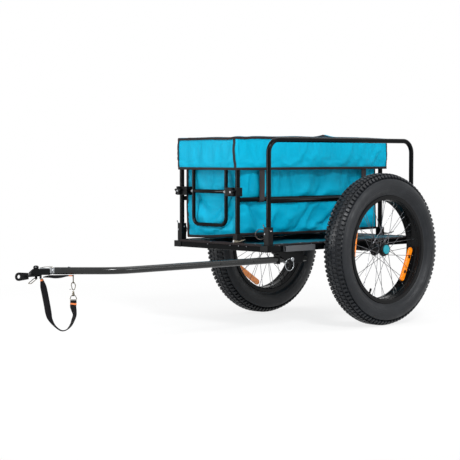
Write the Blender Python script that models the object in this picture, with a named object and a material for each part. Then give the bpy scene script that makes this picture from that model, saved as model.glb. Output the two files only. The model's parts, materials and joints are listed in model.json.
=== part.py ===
"""Beach bike trailer: two fat wheels, a flat deck, three rail hoops, a fabric bag and a tow bar.

Metres, +Z up. The wheels stand on Z = 0, X = 0 is the middle of the track, +X is the trailer's left
and it travels towards -Y. Every size below is measured in the trailer's own frame, whose Y = 0 is
the wheel axle. The empty named trailer moves that frame so that the whole length is centred on Y = 0.
"""

import math

import bmesh
import bpy
from mathutils import Matrix, Vector

# Clearances
GAP = 0.0003  # between pieces that touch
SLIP = 0.0004  # round a tube or a pin in its hole

# Tyre, inner tube and rim
BEAD_SEAT_RADIUS = 0.2035
TYRE_HEIGHT = 0.0995
TYRE_WIDTH = 0.106
TYRE_WALL = 0.0034
TYRE_SECTION_EXTRA = 0.001  # of half the section over half the tyre's height
CROWN_TURN = 20  # degrees each side of the middle between which the tread is flat
BEAD_THICKNESS = 0.005
TUBE_WALL = 0.0015
TUBE_CLEARANCE = 0.0055  # round the inner tube, whose facets are twice as long as the tyre's
RIM_WIDTH = 0.080
RIM_WALL = 0.003
RIM_EDGE_HEIGHT = 0.012
RIM_WELL_DEPTH = 0.0045
RIM_WELL_WALL = 0.002
RIM_WELL_WIDTH = 0.024
VALVE_RADIUS = 0.003
VALVE_BORE_RADIUS = 0.0012
VALVE_LENGTH = 0.041

# Hub, spokes and axle
SPOKES_PER_FLANGE = 18
SPOKE_RADIUS = 0.0011
SPOKE_STAGGER = 0.0016  # each spoke's distance to the side of its flange's middle
SPOKE_LEAD = math.radians(60)  # how far round the hub a spoke starts from its place on the rim
SPOKE_RIM_OFFSET = 0.008
HUB_OUTER_END = 0.0255
HUB_LENGTH = 0.0765
HUB_BODY_RADIUS = 0.019
HUB_BEZEL_RADIUS = 0.0232
FLANGE_RADIUS = 0.028
FLANGE_THICKNESS = 0.004
FLANGE_INSET = 0.0140  # from the hub's outer end to the outer flange's middle
FLANGE_SPACING = 0.0475
BEARING_RADIUS = 0.0135
BEARING_WIDTH = 0.009
AXLE_RADIUS = 0.006
AXLE_GRIP = 0.070  # how far the axle reaches into the frame's axle tube
AXLE_HEAD_RADIUS = 0.011
AXLE_HEAD_THICKNESS = 0.0027
BUTTON_RADIUS = 0.0180
BUTTON_THICKNESS = 0.006
BUTTON_PROUD = 0.0027  # of the hub's bezel
BUTTON_TRAVEL = 0.0022
BUTTON_STEM_RADIUS = 0.003
BUTTON_STEM_LENGTH = 0.018
REFLECTOR_LENGTH = 0.144
REFLECTOR_WIDTH = 0.024
REFLECTOR_THICKNESS = 0.008
REFLECTOR_FROM_RIM = 0.031  # of the bar's middle inside the rim's inner face
LEFT_REFLECTOR_TURN = math.radians(-24)
RIGHT_REFLECTOR_TURN = math.radians(237)
SECOND_REFLECTOR_TURN = math.radians(196)  # from the first
VALVE_FROM_REFLECTOR = math.radians(-88)

# Platform
PLATFORM_WIDTH = 0.536
PLATFORM_FRONT = 0.571  # ahead of the axle
PLATFORM_REAR = 0.3165  # behind the axle
WHEEL_CLEARANCE = 0.015  # between the platform and each tyre
RAIL_WIDTH = 0.040
RAIL_HEIGHT = 0.025
RAIL_WALL = 0.002
RAIL_TOP_ABOVE_AXLE = 0.033
MIDDLE_RAIL_Y = -0.250
AXLE_TUBE_RADIUS = 0.011
CAP_THICKNESS = 0.003
CAP_PLUG = 0.018
DECK_THICKNESS = 0.002
DECK_INSET = 0.004

# Rail hoops, their sockets and base clamps
HOOP_TUBE_RADIUS = 0.0095
HOOP_TUBE_WALL = 0.0015
HOOP_RAIL_RADIUS = 0.0090  # of the hoop's middle rail
HOOP_FRONT_Y = -0.546
HOOP_REAR_Y = 0.287
HOOP_TOP_ABOVE_DECK = 0.400
HOOP_MIDDLE_ABOVE_DECK = 0.169
HOOP_BEND_RADIUS = 0.050
BOARD_SLOT = 0.170  # between the left and the middle hoop
SOCKET_SIDE = 0.025
SOCKET_HEIGHT = 0.069
SOCKET_FLOOR = 0.009
HOOP_PIN_RADIUS = 0.003
HOOP_PIN_HEIGHT = 0.055  # above the deck rails
HOOP_PIN_HEAD_RADIUS = 0.0055
HOOP_PIN_HEAD_LENGTH = 0.005
HOOP_PIN_TIP = 0.004  # past the socket
PIN_RING_RADIUS = 0.0195
PIN_RING_WIRE = 0.0011
PIN_RING_DROP = 0.0130  # of the ring's middle under the pin
PIN_RING_LEAN = 0.0190  # of the ring's middle to the side of the pin
BASE_CLAMP_LENGTH = 0.028
BASE_CLAMP_WIDTH = 0.024
BASE_CLAMP_HEIGHT = 0.035
CAM_LEVER_REACH = 0.060
CAM_LEVER_RISE = 0.0085
CAM_LEVER_WIDTH = 0.006
CAM_LEVER_THICKNESS = 0.004
CAM_HEAD_RADIUS = 0.0065
CAM_BOLT_RADIUS = 0.0025
CAM_BOLT_DEPTH = 0.0030
CAM_PIVOT_HEIGHT = 0.0075  # above the clamp's foot

# Front guard loop, its clamps and knobs
GUARD_TUBE_RADIUS = 0.0068
GUARD_LEFT_X = 0.019
GUARD_RIGHT_X = -0.170
GUARD_BOTTOM_ABOVE_DECK = 0.068
GUARD_TOP_ABOVE_DECK = 0.385
GUARD_CORNER_RADIUS = 0.030
GUARD_BAR_RADIUS = 0.0077
GUARD_BAR_ABOVE_DECK = 0.1995
GUARD_BAR_SHORT = 0.009  # between each end of the bar and the hoop's leg
GUARD_SET_BACK = 0.0055  # of the guard's plane ahead of the hoop's front legs
GUARD_CLAMP_HEIGHT = 0.034
GUARD_CLAMP_WALL = 0.0035
LEFT_CLAMP_ARM = 0.051  # from the hoop's leg towards the guard
RIGHT_CLAMP_ARM = 0.049
KNOB_FROM_LEG = 0.008
KNOB_RADIUS = 0.0175
KNOB_THICKNESS = 0.014
KNOB_LOBES = 5
KNOB_STUD_RADIUS = 0.003
KNOB_STUD_LENGTH = 0.003
KNOB_STUD_CLEARANCE = 0.001
KNOB_VALLEY = 0.78  # of the knob's radius

# Bag
BAG_WALL = 0.0025
BAG_SIDE_CLEARANCE = 0.0006
BAG_FRONT_CLEARANCE = 0.0052
BAG_REAR_CLEARANCE = 0.010
BAG_BOTTOM_ABOVE_DECK = 0.014
BAG_LEFT_LIFT = 0.0180  # of the bottom's left edge over its right edge
BAG_RIGHT_TUCK = 0.014  # how far the right side leans in at the bottom
BAG_CORNER_RADIUS = 0.006
CUFF_WALL = 0.0025
CUFF_DROP = 0.127
CUFF_LEFT_SLACK = 0.0008  # between the cuff and the outside of the hoop tubes
CUFF_RIGHT_SLACK = 0.0008
CUFF_FRONT_Y = -0.5615
CUFF_REAR_Y = 0.3135
CUFF_CORNER_RADIUS = 0.015
SIDE_STRAP_WIDTH = 0.028
SIDE_STRAP_THICKNESS = 0.0016
SIDE_STRAP_PLACES = (-0.424, 0.170)

# Tow bar and its receiver
TOW_TUBE_RADIUS = 0.0125
TOW_TUBE_WALL = 0.002
TOW_BAR_OUT = 0.005  # of the bar's axis outside the left hoop's
TOW_BAR_BELOW_RAIL_TOP = 0.055
TOW_BAR_REAR_Y = -0.353
TOW_BEND_Y = -1.274  # where the two straight runs would meet
TOW_BEND_RADIUS = 0.150
TOW_TOE_IN = math.radians(43)
TOW_FRONT_RUN = 0.216  # from the bend's corner to the tube's end
RECEIVER_FRONT_Y = -0.520
RECEIVER_REAR_Y = -0.379
RECEIVER_WALL = 0.0032
RECEIVER_SLOPE_END = 0.062  # from its front to where its sloping underside ends
RECEIVER_BROW = 0.005
SADDLE_CLIP_Y = -0.506
SADDLE_CLIP_WIDTH = 0.005
TOW_PIN_Y = -0.442
TOW_PIN_RADIUS = 0.004
TOW_PIN_HEAD_RADIUS = 0.008
TOW_PIN_HEAD_LENGTH = 0.006
TOW_RING_RADIUS = 0.0225
TOW_RING_WIRE = 0.0014
TOW_RING_DROP = 0.0205
TOW_RING_LEAN = 0.0150
SIDE_SLEEVE_WIDTH = 0.014
SIDE_SLEEVE_HEIGHT = 0.022
SIDE_SLEEVE_WALL = 0.0018
SIDE_SLEEVE_FRONT_Y = -0.486
SIDE_SLEEVE_REAR_Y = -0.325
SIDE_SLEEVE_BELOW_RAIL_TOP = 0.0025

# Hitch, whose own frame starts at the tow tube's front end, with -Y on along the tube
COLLAR_LENGTH = 0.016
COLLAR_RADIUS = 0.0122
COLLAR_WAIST = 0.0104
COLLAR_SPIGOT = 0.022  # into the tow tube
SHANK_RADIUS = 0.0062
SHANK_LENGTH = 0.045
COUPLER_LENGTH = 0.0725
COUPLER_WIDTH = 0.026
COUPLER_ABOVE_AXIS = 0.0065
COUPLER_BELOW_AXIS = 0.0135
HITCH_PIN_FROM_FRONT = 0.024
HITCH_PIN_RADIUS = 0.0045
HITCH_KNOB_RADIUS = 0.0095
HITCH_KNOB_HEIGHT = 0.0115
HITCH_PIN_BELOW = 0.010  # of the pin under the tongue
BAIL_WIRE = 0.0012
BAIL_REACH = 0.026
BAIL_DROP = 0.008
LATCH_LENGTH = 0.034
LATCH_WIDTH = 0.010
LATCH_THICKNESS = 0.0025
TONGUE_THICKNESS = 0.005
TONGUE_WIDTH = 0.026
EYE_FROM_PIVOT = 0.0715
EYE_PLATE_RADIUS = 0.0145
EYE_PLATE_THICKNESS = 0.005
EYE_HOLE_RADIUS = 0.0065
EYE_PLATE_START = 0.032  # from the pivot
STAPLE_WIDTH = 0.028
STAPLE_WIRE = 0.004
STAPLE_DROP = 0.013

# Safety strap
STRAP_WIDTH = 0.022
STRAP_THICKNESS = 0.0022
# Distance from the tow bar's bend corner along its front run, height over its axis, twist in degrees
STRAP_ROUTE = (
    (0.2628, -0.0270, 25), (0.2590, -0.0430, 55), (0.2551, -0.0603, 75), (0.2482, -0.0953, 85),
    (0.2431, -0.1234, 84), (0.2396, -0.1443, 72), (0.2341, -0.1652, 40), (0.2208, -0.1865, 8),
    (0.2040, -0.2019, 0), (0.1899, -0.2067, 0), (0.1759, -0.2019, 4), (0.1622, -0.1865, 22),
    (0.1550, -0.1697, 34), (0.1495, -0.1529, 42), (0.1515, -0.1375, 62), (0.1543, -0.1234, 82),
    (0.1536, -0.1110, 90), (0.1536, -0.1018, 90),
)
ANCHOR_ROUTE = (
    (0.2560, -0.0215), (0.2350, -0.0196), (0.2150, -0.0205),
    (0.1950, -0.0195), (0.1750, -0.0170), (0.1522, -0.0168),
)
STRAP_STEPS = 2  # between two points of a route
ANCHOR_RING_PLACE = 0.1536
ANCHOR_RING_WIDTH = 0.011
ANCHOR_RING_TOP = -0.0150
ANCHOR_RING_BOTTOM = -0.0430
ANCHOR_RING_WIRE = 0.0014
HOOK_WIRE = 0.0015
HOOK_HALF_WIDTH = 0.0069
HOOK_LOOP_LENGTH = 0.0444
HOOK_BODY_RADIUS = 0.0038
HOOK_BODY_LENGTH = 0.013
SWIVEL_RING_WIRE = 0.0014
SWIVEL_RING_HALF_WIDTH = 0.0125
SWIVEL_RING_DEPTH = 0.0144

# Facets
TUBE_SIDES = 10
TOW_TUBE_SIDES = 12
BORE_SIDES = 6
HOLE_SIDES = 12
PIN_SIDES = 8
WIRE_SIDES = 6
BEND_STEPS = 4
HUB_SIDES = 16
RING_STEPS = 12
SPOKE_STEPS = 100  # along a spoke, where a reflector looks for its seat
MARKER_SIZE = 0.05  # of each empty as it is drawn

# Sizes that follow from those above
WHEEL_RADIUS = BEAD_SEAT_RADIUS + TYRE_HEIGHT
HALF_PLATFORM = PLATFORM_WIDTH / 2
HALF_TRACK = HALF_PLATFORM + WHEEL_CLEARANCE + TYRE_WIDTH / 2
WHEEL_STEPS = 2 * SPOKES_PER_FLANGE
RAIL_TOP = WHEEL_RADIUS + RAIL_TOP_ABOVE_AXLE
RAIL_BOTTOM = RAIL_TOP - RAIL_HEIGHT
RAIL_AXIS_X = HALF_PLATFORM - RAIL_WIDTH / 2
DECK_TOP = RAIL_TOP + GAP + DECK_THICKNESS
HOOP_TOP = RAIL_TOP + HOOP_TOP_ABOVE_DECK
HOOP_MIDDLE = RAIL_TOP + HOOP_MIDDLE_ABOVE_DECK
MIDDLE_HOOP_X = RAIL_AXIS_X - BOARD_SLOT
HOOP_CROWN = HOOP_TOP + HOOP_TUBE_RADIUS
SOCKET_TOP = RAIL_TOP + GAP + SOCKET_HEIGHT
HOOP_FOOT = RAIL_TOP + GAP + SOCKET_FLOOR + GAP
CLAMP_FOOT = DECK_TOP + GAP
HUB_INNER_END = HUB_OUTER_END - HUB_LENGTH
AXLE_END = HUB_OUTER_END + BUTTON_PROUD - BUTTON_THICKNESS - BUTTON_TRAVEL - GAP
BEARING_OUTER_END = AXLE_END - AXLE_HEAD_THICKNESS - GAP
AXLE_TUBE_HALF = HALF_TRACK + HUB_INNER_END - GAP
GUARD_Y = HOOP_FRONT_Y - GUARD_SET_BACK
TOW_BAR_X = RAIL_AXIS_X + TOW_BAR_OUT
TOW_BAR_Z = RAIL_TOP - TOW_BAR_BELOW_RAIL_TOP
TOW_DIRECTION = Vector((-math.sin(TOW_TOE_IN), -math.cos(TOW_TOE_IN), 0))
TOW_CORNER = Vector((TOW_BAR_X, TOW_BEND_Y, TOW_BAR_Z))
TOW_END = TOW_CORNER + TOW_FRONT_RUN * TOW_DIRECTION
COUPLER_START = COLLAR_LENGTH + 2 * GAP
COUPLER_FRONT = COUPLER_START + COUPLER_LENGTH
HITCH_PIVOT_RUN = COUPLER_FRONT - HITCH_PIN_FROM_FRONT
PIVOT = TOW_END + HITCH_PIVOT_RUN * TOW_DIRECTION
TONGUE_TOP = -COUPLER_BELOW_AXIS - GAP  # under the tow bar's axis
FRONT_REACH = -(PIVOT.y - EYE_FROM_PIVOT - EYE_PLATE_RADIUS)
AXLE_Y = (FRONT_REACH - PLATFORM_REAR) / 2
TYRE_SECTION_HALF = TYRE_HEIGHT / 2 + TYRE_SECTION_EXTRA
TYRE_SECTION_MIDDLE = WHEEL_RADIUS - TYRE_SECTION_HALF * math.cos(math.radians(CROWN_TURN))
OUTER_TURNS = (-130, -90, -52, -CROWN_TURN, CROWN_TURN, 52, 90, 130)
INNER_TURNS = (-140, -94, -47, 0, 47, 94, 140)
RIM_WELL_RADIUS = BEAD_SEAT_RADIUS - RIM_WELL_DEPTH
RIM_INNER_RADIUS = RIM_WELL_RADIUS - RIM_WELL_WALL
REFLECTOR_MIDDLE_RADIUS = RIM_INNER_RADIUS - REFLECTOR_FROM_RIM
GUARD_CLAMP_FRONT = GUARD_Y - GUARD_BAR_RADIUS - SLIP - GUARD_CLAMP_WALL - KNOB_STUD_CLEARANCE
GUARD_LEG_X = {1: MIDDLE_HOOP_X, -1: -RAIL_AXIS_X}  # the hoop leg on each side of the guard
BAR_END = {side: x - side * (HOOP_TUBE_RADIUS + GUARD_BAR_SHORT) for side, x in GUARD_LEG_X.items()}
BAG_LEFT = MIDDLE_HOOP_X - HOOP_TUBE_RADIUS - BAG_SIDE_CLEARANCE
BAG_RIGHT = -RAIL_AXIS_X + HOOP_TUBE_RADIUS + BAG_SIDE_CLEARANCE
BAG_FRONT = HOOP_FRONT_Y + HOOP_TUBE_RADIUS + BAG_FRONT_CLEARANCE
BAG_REAR = HOOP_REAR_Y - HOOP_TUBE_RADIUS - BAG_REAR_CLEARANCE
BAG_TOP = HOOP_CROWN
CUFF_TOP = HOOP_CROWN + GAP + CUFF_WALL
RECEIVER_HALF = TOW_TUBE_RADIUS + SLIP + RECEIVER_WALL
STAPLE_Y = -(HITCH_PIVOT_RUN - TONGUE_WIDTH / 2 - STAPLE_WIRE / 2 - 2 * GAP)
LATCH_PIVOT_Y = -(HITCH_PIVOT_RUN - HITCH_KNOB_RADIUS - 2 * LATCH_THICKNESS)

MATERIALS = {
    "rubber": ((0.028, 0.030, 0.034), 0.85, 0.0),
    "inner_rubber": ((0.020, 0.020, 0.020), 0.90, 0.0),
    "black_rim": ((0.012, 0.012, 0.013), 0.40, 0.5),
    "black_steel": ((0.010, 0.010, 0.011), 0.35, 0.6),
    "bearing_steel": ((0.42, 0.42, 0.43), 0.30, 1.0),
    "zinc": ((0.58, 0.60, 0.61), 0.32, 1.0),
    "turquoise": ((0.045, 0.600, 0.680), 0.45, 0.0),
    "amber": ((1.0, 0.30, 0.0), 0.25, 0.0),
    "powder_coat": ((0.011, 0.011, 0.012), 0.42, 0.2),
    "grey_plastic": ((0.030, 0.031, 0.033), 0.60, 0.0),
    "black_plastic": ((0.010, 0.010, 0.011), 0.55, 0.0),
    "deck_fabric": ((0.007, 0.115, 0.150), 0.80, 0.0),
    "bag_fabric": ((0.003, 0.400, 0.640), 0.75, 0.0),
    "grey_webbing": ((0.035, 0.036, 0.040), 0.85, 0.0),
    "black_webbing": ((0.012, 0.012, 0.014), 0.85, 0.0),
    "tow_bar_grey": ((0.085, 0.085, 0.080), 0.35, 0.7),
    "nickel": ((0.62, 0.60, 0.54), 0.28, 1.0),
}


def clear_scene():
    for thing in list(bpy.data.objects):
        bpy.data.objects.remove(thing, do_unlink=True)


def material(name):
    """The named finish, made once."""
    made = bpy.data.materials.get(name)
    if made is None:
        colour, roughness, metallic = MATERIALS[name]
        made = bpy.data.materials.new(name)
        made.use_nodes = True
        shader = made.node_tree.nodes["Principled BSDF"]
        shader.inputs["Base Color"].default_value = (*colour, 1)
        shader.inputs["Roughness"].default_value = roughness
        shader.inputs["Metallic"].default_value = metallic
        made.diffuse_color = (*colour, 1)
    return made


def empty(name, place, parent=None):
    made = bpy.data.objects.new(name, None)
    made.empty_display_size = MARKER_SIZE
    made.location = place
    made.parent = parent
    bpy.context.scene.collection.objects.link(made)
    return made


def add(name, shape, finish, parent):
    """A visible object from a bmesh in its parent's frame."""
    bmesh.ops.recalc_face_normals(shape, faces=shape.faces)
    mesh = bpy.data.meshes.new(name)
    shape.to_mesh(mesh)
    shape.free()
    mesh.materials.append(material(finish))
    mesh.shade_smooth()
    mesh.set_sharp_from_angle(angle=math.radians(35))
    made = bpy.data.objects.new(name, mesh)
    made.parent = parent
    bpy.context.scene.collection.objects.link(made)
    return made


def reshape(thing, operation, *shapes):
    """Joins shapes to an object, or cuts them from it, one Boolean for each."""
    for shape in shapes:
        label = f"{thing.name}_{operation.lower()}_{len(thing.modifiers) + 1}"
        bmesh.ops.recalc_face_normals(shape, faces=shape.faces)
        mesh = bpy.data.meshes.new(label)
        shape.to_mesh(mesh)
        shape.free()
        helper = bpy.data.objects.new(label, mesh)
        helper.parent = thing.parent
        helper.hide_render = True
        helper.display_type = "WIRE"
        bpy.context.scene.collection.objects.link(helper)
        modifier = thing.modifiers.new(label, "BOOLEAN")
        modifier.operation = operation
        modifier.solver = "EXACT"
        modifier.object = helper
    return thing


def box(low, high):
    """A box between two opposite corners, given in any order."""
    shape = bmesh.new()
    size = [abs(b - a) for a, b in zip(low, high)]
    middle = [(a + b) / 2 for a, b in zip(low, high)]
    bmesh.ops.create_cube(shape, size=1, matrix=Matrix.Translation(middle) @ Matrix.Diagonal((*size, 1)))
    return shape


def extruded(outline, start, end, turn=Matrix.Identity(4)):
    """A flat outline in X and Y, given height from start to end along Z and then turned."""
    shape = bmesh.new()
    low = [shape.verts.new((x, y, start)) for x, y in outline]
    high = [shape.verts.new((x, y, end)) for x, y in outline]
    shape.faces.new(low)
    shape.faces.new(high)
    for i in range(len(outline)):
        j = (i + 1) % len(outline)
        shape.faces.new((low[i], low[j], high[j], high[i]))
    bmesh.ops.transform(shape, matrix=turn, verts=shape.verts)
    return shape


def bridge(shape, first, second, closed=True):
    """Faces between two rings of vertices, either of which may be one vertex at a pole."""
    count = max(len(first), len(second))
    for k in range(count if closed else count - 1):
        j = (k + 1) % count
        corners = [first[k % len(first)], first[j % len(first)]]
        corners += [second[j % len(second)], second[k % len(second)]]
        kept = [v for i, v in enumerate(corners) if v not in corners[:i]]
        if len(kept) > 2:
            shape.faces.new(kept)


def turned(profile, steps, turn=Matrix.Identity(4), start=0.0, scale=1.0):
    """A turned solid round X, from points of place and radius: a ring, or a shaft ending in radius 0."""
    shape = bmesh.new()
    rings = []
    for x, radius in profile:
        if radius == 0:
            rings.append([shape.verts.new((x, 0, 0))])
            continue
        level = []
        for k in range(steps):
            a = start + 2 * math.pi * k / steps
            level.append(shape.verts.new((x, scale * radius * math.cos(a), scale * radius * math.sin(a))))
        rings.append(level)
    for first, second in zip(rings, rings[1:]):
        bridge(shape, first, second)
    if profile[0][1] > 0:
        bridge(shape, rings[-1], rings[0])
    bmesh.ops.transform(shape, matrix=turn, verts=shape.verts)
    return shape


def rod(start, end, radius, sides):
    """A round bar between two points."""
    start, end = Vector(start), Vector(end)
    run = end - start
    turn = Matrix.Translation(start) @ run.to_track_quat("X", "Z").to_matrix().to_4x4()
    return turned([(0, 0), (0, radius), (run.length, radius), (run.length, 0)], sides, turn)


def swept(path, section, normal, closed=False):
    """A section carried along a flat path: its first measure is along normal, its second across."""
    shape = bmesh.new()
    normal = Vector(normal)
    path = [Vector(p) for p in path]
    rings = []
    for i, point in enumerate(path):
        before = path[i - 1] if closed or i else point
        after = path[(i + 1) % len(path)] if closed or i < len(path) - 1 else point
        across = (after - before).normalized().cross(normal)
        rings.append([shape.verts.new(point + u * normal + v * across) for u, v in section])
    for first, second in zip(rings, rings[1:]):
        bridge(shape, first, second)
    if closed:
        bridge(shape, rings[-1], rings[0])
    else:
        shape.faces.new(rings[0])
        shape.faces.new(rings[-1])
    return shape


def circle(radius, sides):
    turns = [2 * math.pi * k / sides for k in range(sides)]
    return [(radius * math.cos(a), radius * math.sin(a)) for a in turns]


def arc_points(radius, degrees):
    return [(radius * math.cos(math.radians(d)), radius * math.sin(math.radians(d))) for d in degrees]


def rounded(corners, radius, steps, closed=False):
    """A path through corners, each turned into an arc of the radius."""
    corners = [Vector(c) for c in corners]
    path = []
    for i, corner in enumerate(corners):
        if not closed and i in (0, len(corners) - 1):
            path.append(corner)
            continue
        back = (corners[i - 1] - corner).normalized()
        on = (corners[(i + 1) % len(corners)] - corner).normalized()
        half = back.angle(on) / 2
        centre = corner + (back + on).normalized() * radius / math.sin(half)
        arm = corner + back * radius / math.tan(half) - centre
        spin = back.cross(on).normalized()
        sweep = math.pi - 2 * half
        path += [centre + Matrix.Rotation(-sweep * k / steps, 3, spin) @ arm for k in range(steps + 1)]
    return path


def smooth(points, steps):
    """A smooth curve through the points, with the given steps between two of them."""
    points = [Vector(p) for p in points]
    ends = [2 * points[0] - points[1], *points, 2 * points[-1] - points[-2]]
    out = []
    for a, b, c, d in zip(ends, ends[1:], ends[2:], ends[3:]):
        for k in range(steps):
            t = k / steps
            bend, twist = 2 * a - 5 * b + 4 * c - d, 3 * b - a - 3 * c + d
            out.append(0.5 * (2 * b + (c - a) * t + bend * t**2 + twist * t**3))
    return [*out, points[-1]]


def ring(centre, radius, wire, normal, steps=RING_STEPS):
    """A wire ring in the plane across normal."""
    turn = Vector(normal).to_track_quat("X", "Z").to_matrix().to_4x4()
    path = [Vector(centre) + turn @ Vector((0, *p)) for p in circle(radius, steps)]
    return swept(path, circle(wire, WIRE_SIDES), turn @ Vector((1, 0, 0)), closed=True)


def wheel_turned(profile, steps=WHEEL_STEPS):
    """A turned wheel piece, its radii true at the middle of the tyre's facets, the lowest one level."""
    facet = math.pi / WHEEL_STEPS
    return turned(profile, steps, start=facet - math.pi / 2, scale=1 / math.cos(facet))


def ellipse_arc(half_width, half_height, degrees):
    """Points of place and radius round the tyre's section, by angle from its crown."""
    middle = TYRE_SECTION_MIDDLE
    turns = [math.radians(d) for d in degrees]
    return [(half_width * math.sin(t), middle + half_height * math.cos(t)) for t in turns]


def tyre(name, parent):
    outer = ellipse_arc(TYRE_WIDTH / 2, TYRE_SECTION_HALF, OUTER_TURNS)
    inner = ellipse_arc(TYRE_WIDTH / 2 - TYRE_WALL, TYRE_SECTION_HALF - TYRE_WALL, INNER_TURNS)
    outside = RIM_WIDTH / 2 - RIM_WALL - GAP
    foot = BEAD_SEAT_RADIUS + GAP
    edge = BEAD_SEAT_RADIUS + RIM_EDGE_HEIGHT + GAP
    bead = [(outside, edge), (outside, foot), (outside - BEAD_THICKNESS, foot)]
    mirrored = [(-x, r) for x, r in reversed(bead)]
    section = [*outer, *bead, *reversed(inner), *mirrored]
    add(f"{name}_tyre", wheel_turned(section), "rubber", parent)


def inner_tube(name, parent, valve_turn):
    half_width = TYRE_WIDTH / 2 - TYRE_WALL - TUBE_CLEARANCE
    half_height = TYRE_SECTION_HALF - TYRE_WALL - TUBE_CLEARANCE
    turns = (*INNER_TURNS, 180)
    outside = ellipse_arc(half_width, half_height, turns)
    inside = ellipse_arc(half_width - TUBE_WALL, half_height - TUBE_WALL, turns)
    made = add(f"{name}_inner_tube", wheel_turned(outside, WHEEL_STEPS // 2), "inner_rubber", parent)
    out = Vector((0, math.cos(valve_turn), math.sin(valve_turn)))
    base = TYRE_SECTION_MIDDLE - half_height
    tip = base - VALVE_LENGTH
    reshape(made, "UNION", rod(out * tip, out * (base + TUBE_WALL), VALVE_RADIUS, PIN_SIDES))
    reshape(made, "DIFFERENCE", wheel_turned(inside, WHEEL_STEPS // 2))
    reach = base + 2 * VALVE_RADIUS
    reshape(made, "DIFFERENCE", rod(out * (tip - VALVE_RADIUS), out * reach, VALVE_BORE_RADIUS, WIRE_SIDES))


def rim(name, parent, valve_turn):
    half = RIM_WIDTH / 2
    well = RIM_WELL_WIDTH / 2
    edge = BEAD_SEAT_RADIUS + RIM_EDGE_HEIGHT
    side = [
        (well, RIM_WELL_RADIUS), (half - RIM_WALL, BEAD_SEAT_RADIUS), (half - RIM_WALL, edge),
        (half, edge), (half, BEAD_SEAT_RADIUS - RIM_WALL), (well, RIM_INNER_RADIUS),
    ]
    section = [*side, *[(-x, r) for x, r in reversed(side)]]
    made = add(f"{name}_rim", wheel_turned(section), "black_rim", parent)
    out = Vector((0, math.cos(valve_turn), math.sin(valve_turn)))
    inner, outer = out * (RIM_INNER_RADIUS - RIM_WALL), out * (RIM_WELL_RADIUS + RIM_WALL)
    reshape(made, "DIFFERENCE", rod(inner, outer, VALVE_RADIUS + SLIP, PIN_SIDES))


def spoke_ends(number, side):
    """Where a spoke starts at its flange and ends at the rim; even numbers are on the outer flange."""
    outside = number % 2 == 0
    flange = HUB_OUTER_END - FLANGE_INSET - (0 if outside else FLANGE_SPACING)
    at_rim = SPOKE_RIM_OFFSET if outside else -SPOKE_RIM_OFFSET
    lead = 1 if number // 2 % 2 else -1
    rim_turn = math.pi * number / SPOKES_PER_FLANGE - math.pi / 2
    hub_turn = rim_turn + lead * SPOKE_LEAD
    hub_radius = FLANGE_RADIUS - FLANGE_THICKNESS
    rim_radius = RIM_INNER_RADIUS - GAP
    shift = lead * SPOKE_STAGGER
    at_hub = hub_radius * math.cos(hub_turn), hub_radius * math.sin(hub_turn)
    far = rim_radius * math.cos(rim_turn), rim_radius * math.sin(rim_turn)
    return Vector((side * (flange + shift), *at_hub)), Vector((side * (at_rim + shift), *far))


def spokes(side):
    """All the spokes of a wheel as thin bars from their flange to just short of the rim."""
    shape = bmesh.new()
    for number in range(2 * SPOKES_PER_FLANGE):
        one = rod(*spoke_ends(number, side), SPOKE_RADIUS, 3)
        mesh = bpy.data.meshes.new("spoke")
        one.to_mesh(mesh)
        one.free()
        shape.from_mesh(mesh)
        bpy.data.meshes.remove(mesh)
    return shape


def spoked_hub(name, parent, side):
    outer, inner = HUB_OUTER_END, HUB_INNER_END
    left = HUB_OUTER_END - FLANGE_INSET
    right = left - FLANGE_SPACING
    half = FLANGE_THICKNESS / 2
    bore = BEARING_RADIUS + SLIP
    boss = bore + RIM_WALL
    recess = BUTTON_RADIUS + SLIP
    profile = [
        (BEARING_OUTER_END, bore), (BEARING_OUTER_END, recess), (outer, recess), (outer, HUB_BEZEL_RADIUS),
        (left + half, HUB_BEZEL_RADIUS), (left + half, FLANGE_RADIUS), (left - half, FLANGE_RADIUS),
        (left - half, HUB_BODY_RADIUS), (right + half, HUB_BODY_RADIUS), (right + half, FLANGE_RADIUS),
        (right - half, FLANGE_RADIUS), (right - half, boss), (inner, boss), (inner, bore),
    ]
    body = turned([(side * x, r) for x, r in profile], HUB_SIDES)
    made = add(f"{name}_spoked_hub", body, "black_steel", parent)
    reshape(made, "UNION", spokes(side))


def hub_bearings(name, parent, side):
    """Two bearings and the spacer between them, seated in the hub's bore."""
    outer, inner = BEARING_OUTER_END, HUB_INNER_END
    bore = AXLE_RADIUS + SLIP
    spacer = bore + RAIL_WALL
    profile = [
        (outer, bore), (outer, BEARING_RADIUS), (outer - BEARING_WIDTH, BEARING_RADIUS),
        (outer - BEARING_WIDTH, spacer), (inner + BEARING_WIDTH, spacer),
        (inner + BEARING_WIDTH, BEARING_RADIUS), (inner, BEARING_RADIUS), (inner, bore),
    ]
    body = turned([(side * x, r) for x, r in profile], HUB_SIDES)
    add(f"{name}_hub_bearings", body, "bearing_steel", parent)


def axle(name, parent, side):
    """The stub axle, with a head outside the bearings and a bore for the button's stem."""
    head = BEARING_OUTER_END + GAP
    root = HUB_INNER_END - GAP - AXLE_GRIP
    stem_bore = BUTTON_STEM_RADIUS + SLIP
    depth = AXLE_END - BUTTON_STEM_LENGTH - BUTTON_TRAVEL
    profile = [
        (root, 0), (root, AXLE_RADIUS), (head, AXLE_RADIUS), (head, AXLE_HEAD_RADIUS),
        (AXLE_END, AXLE_HEAD_RADIUS), (AXLE_END, stem_bore), (depth, stem_bore), (depth, 0),
    ]
    place = empty(f"{name}_axle_middle", (side * HALF_TRACK, 0, WHEEL_RADIUS), parent)
    body = turned([(side * x, r) for x, r in profile], HUB_SIDES)
    add(f"{name}_axle", body, "bearing_steel", place)


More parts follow.
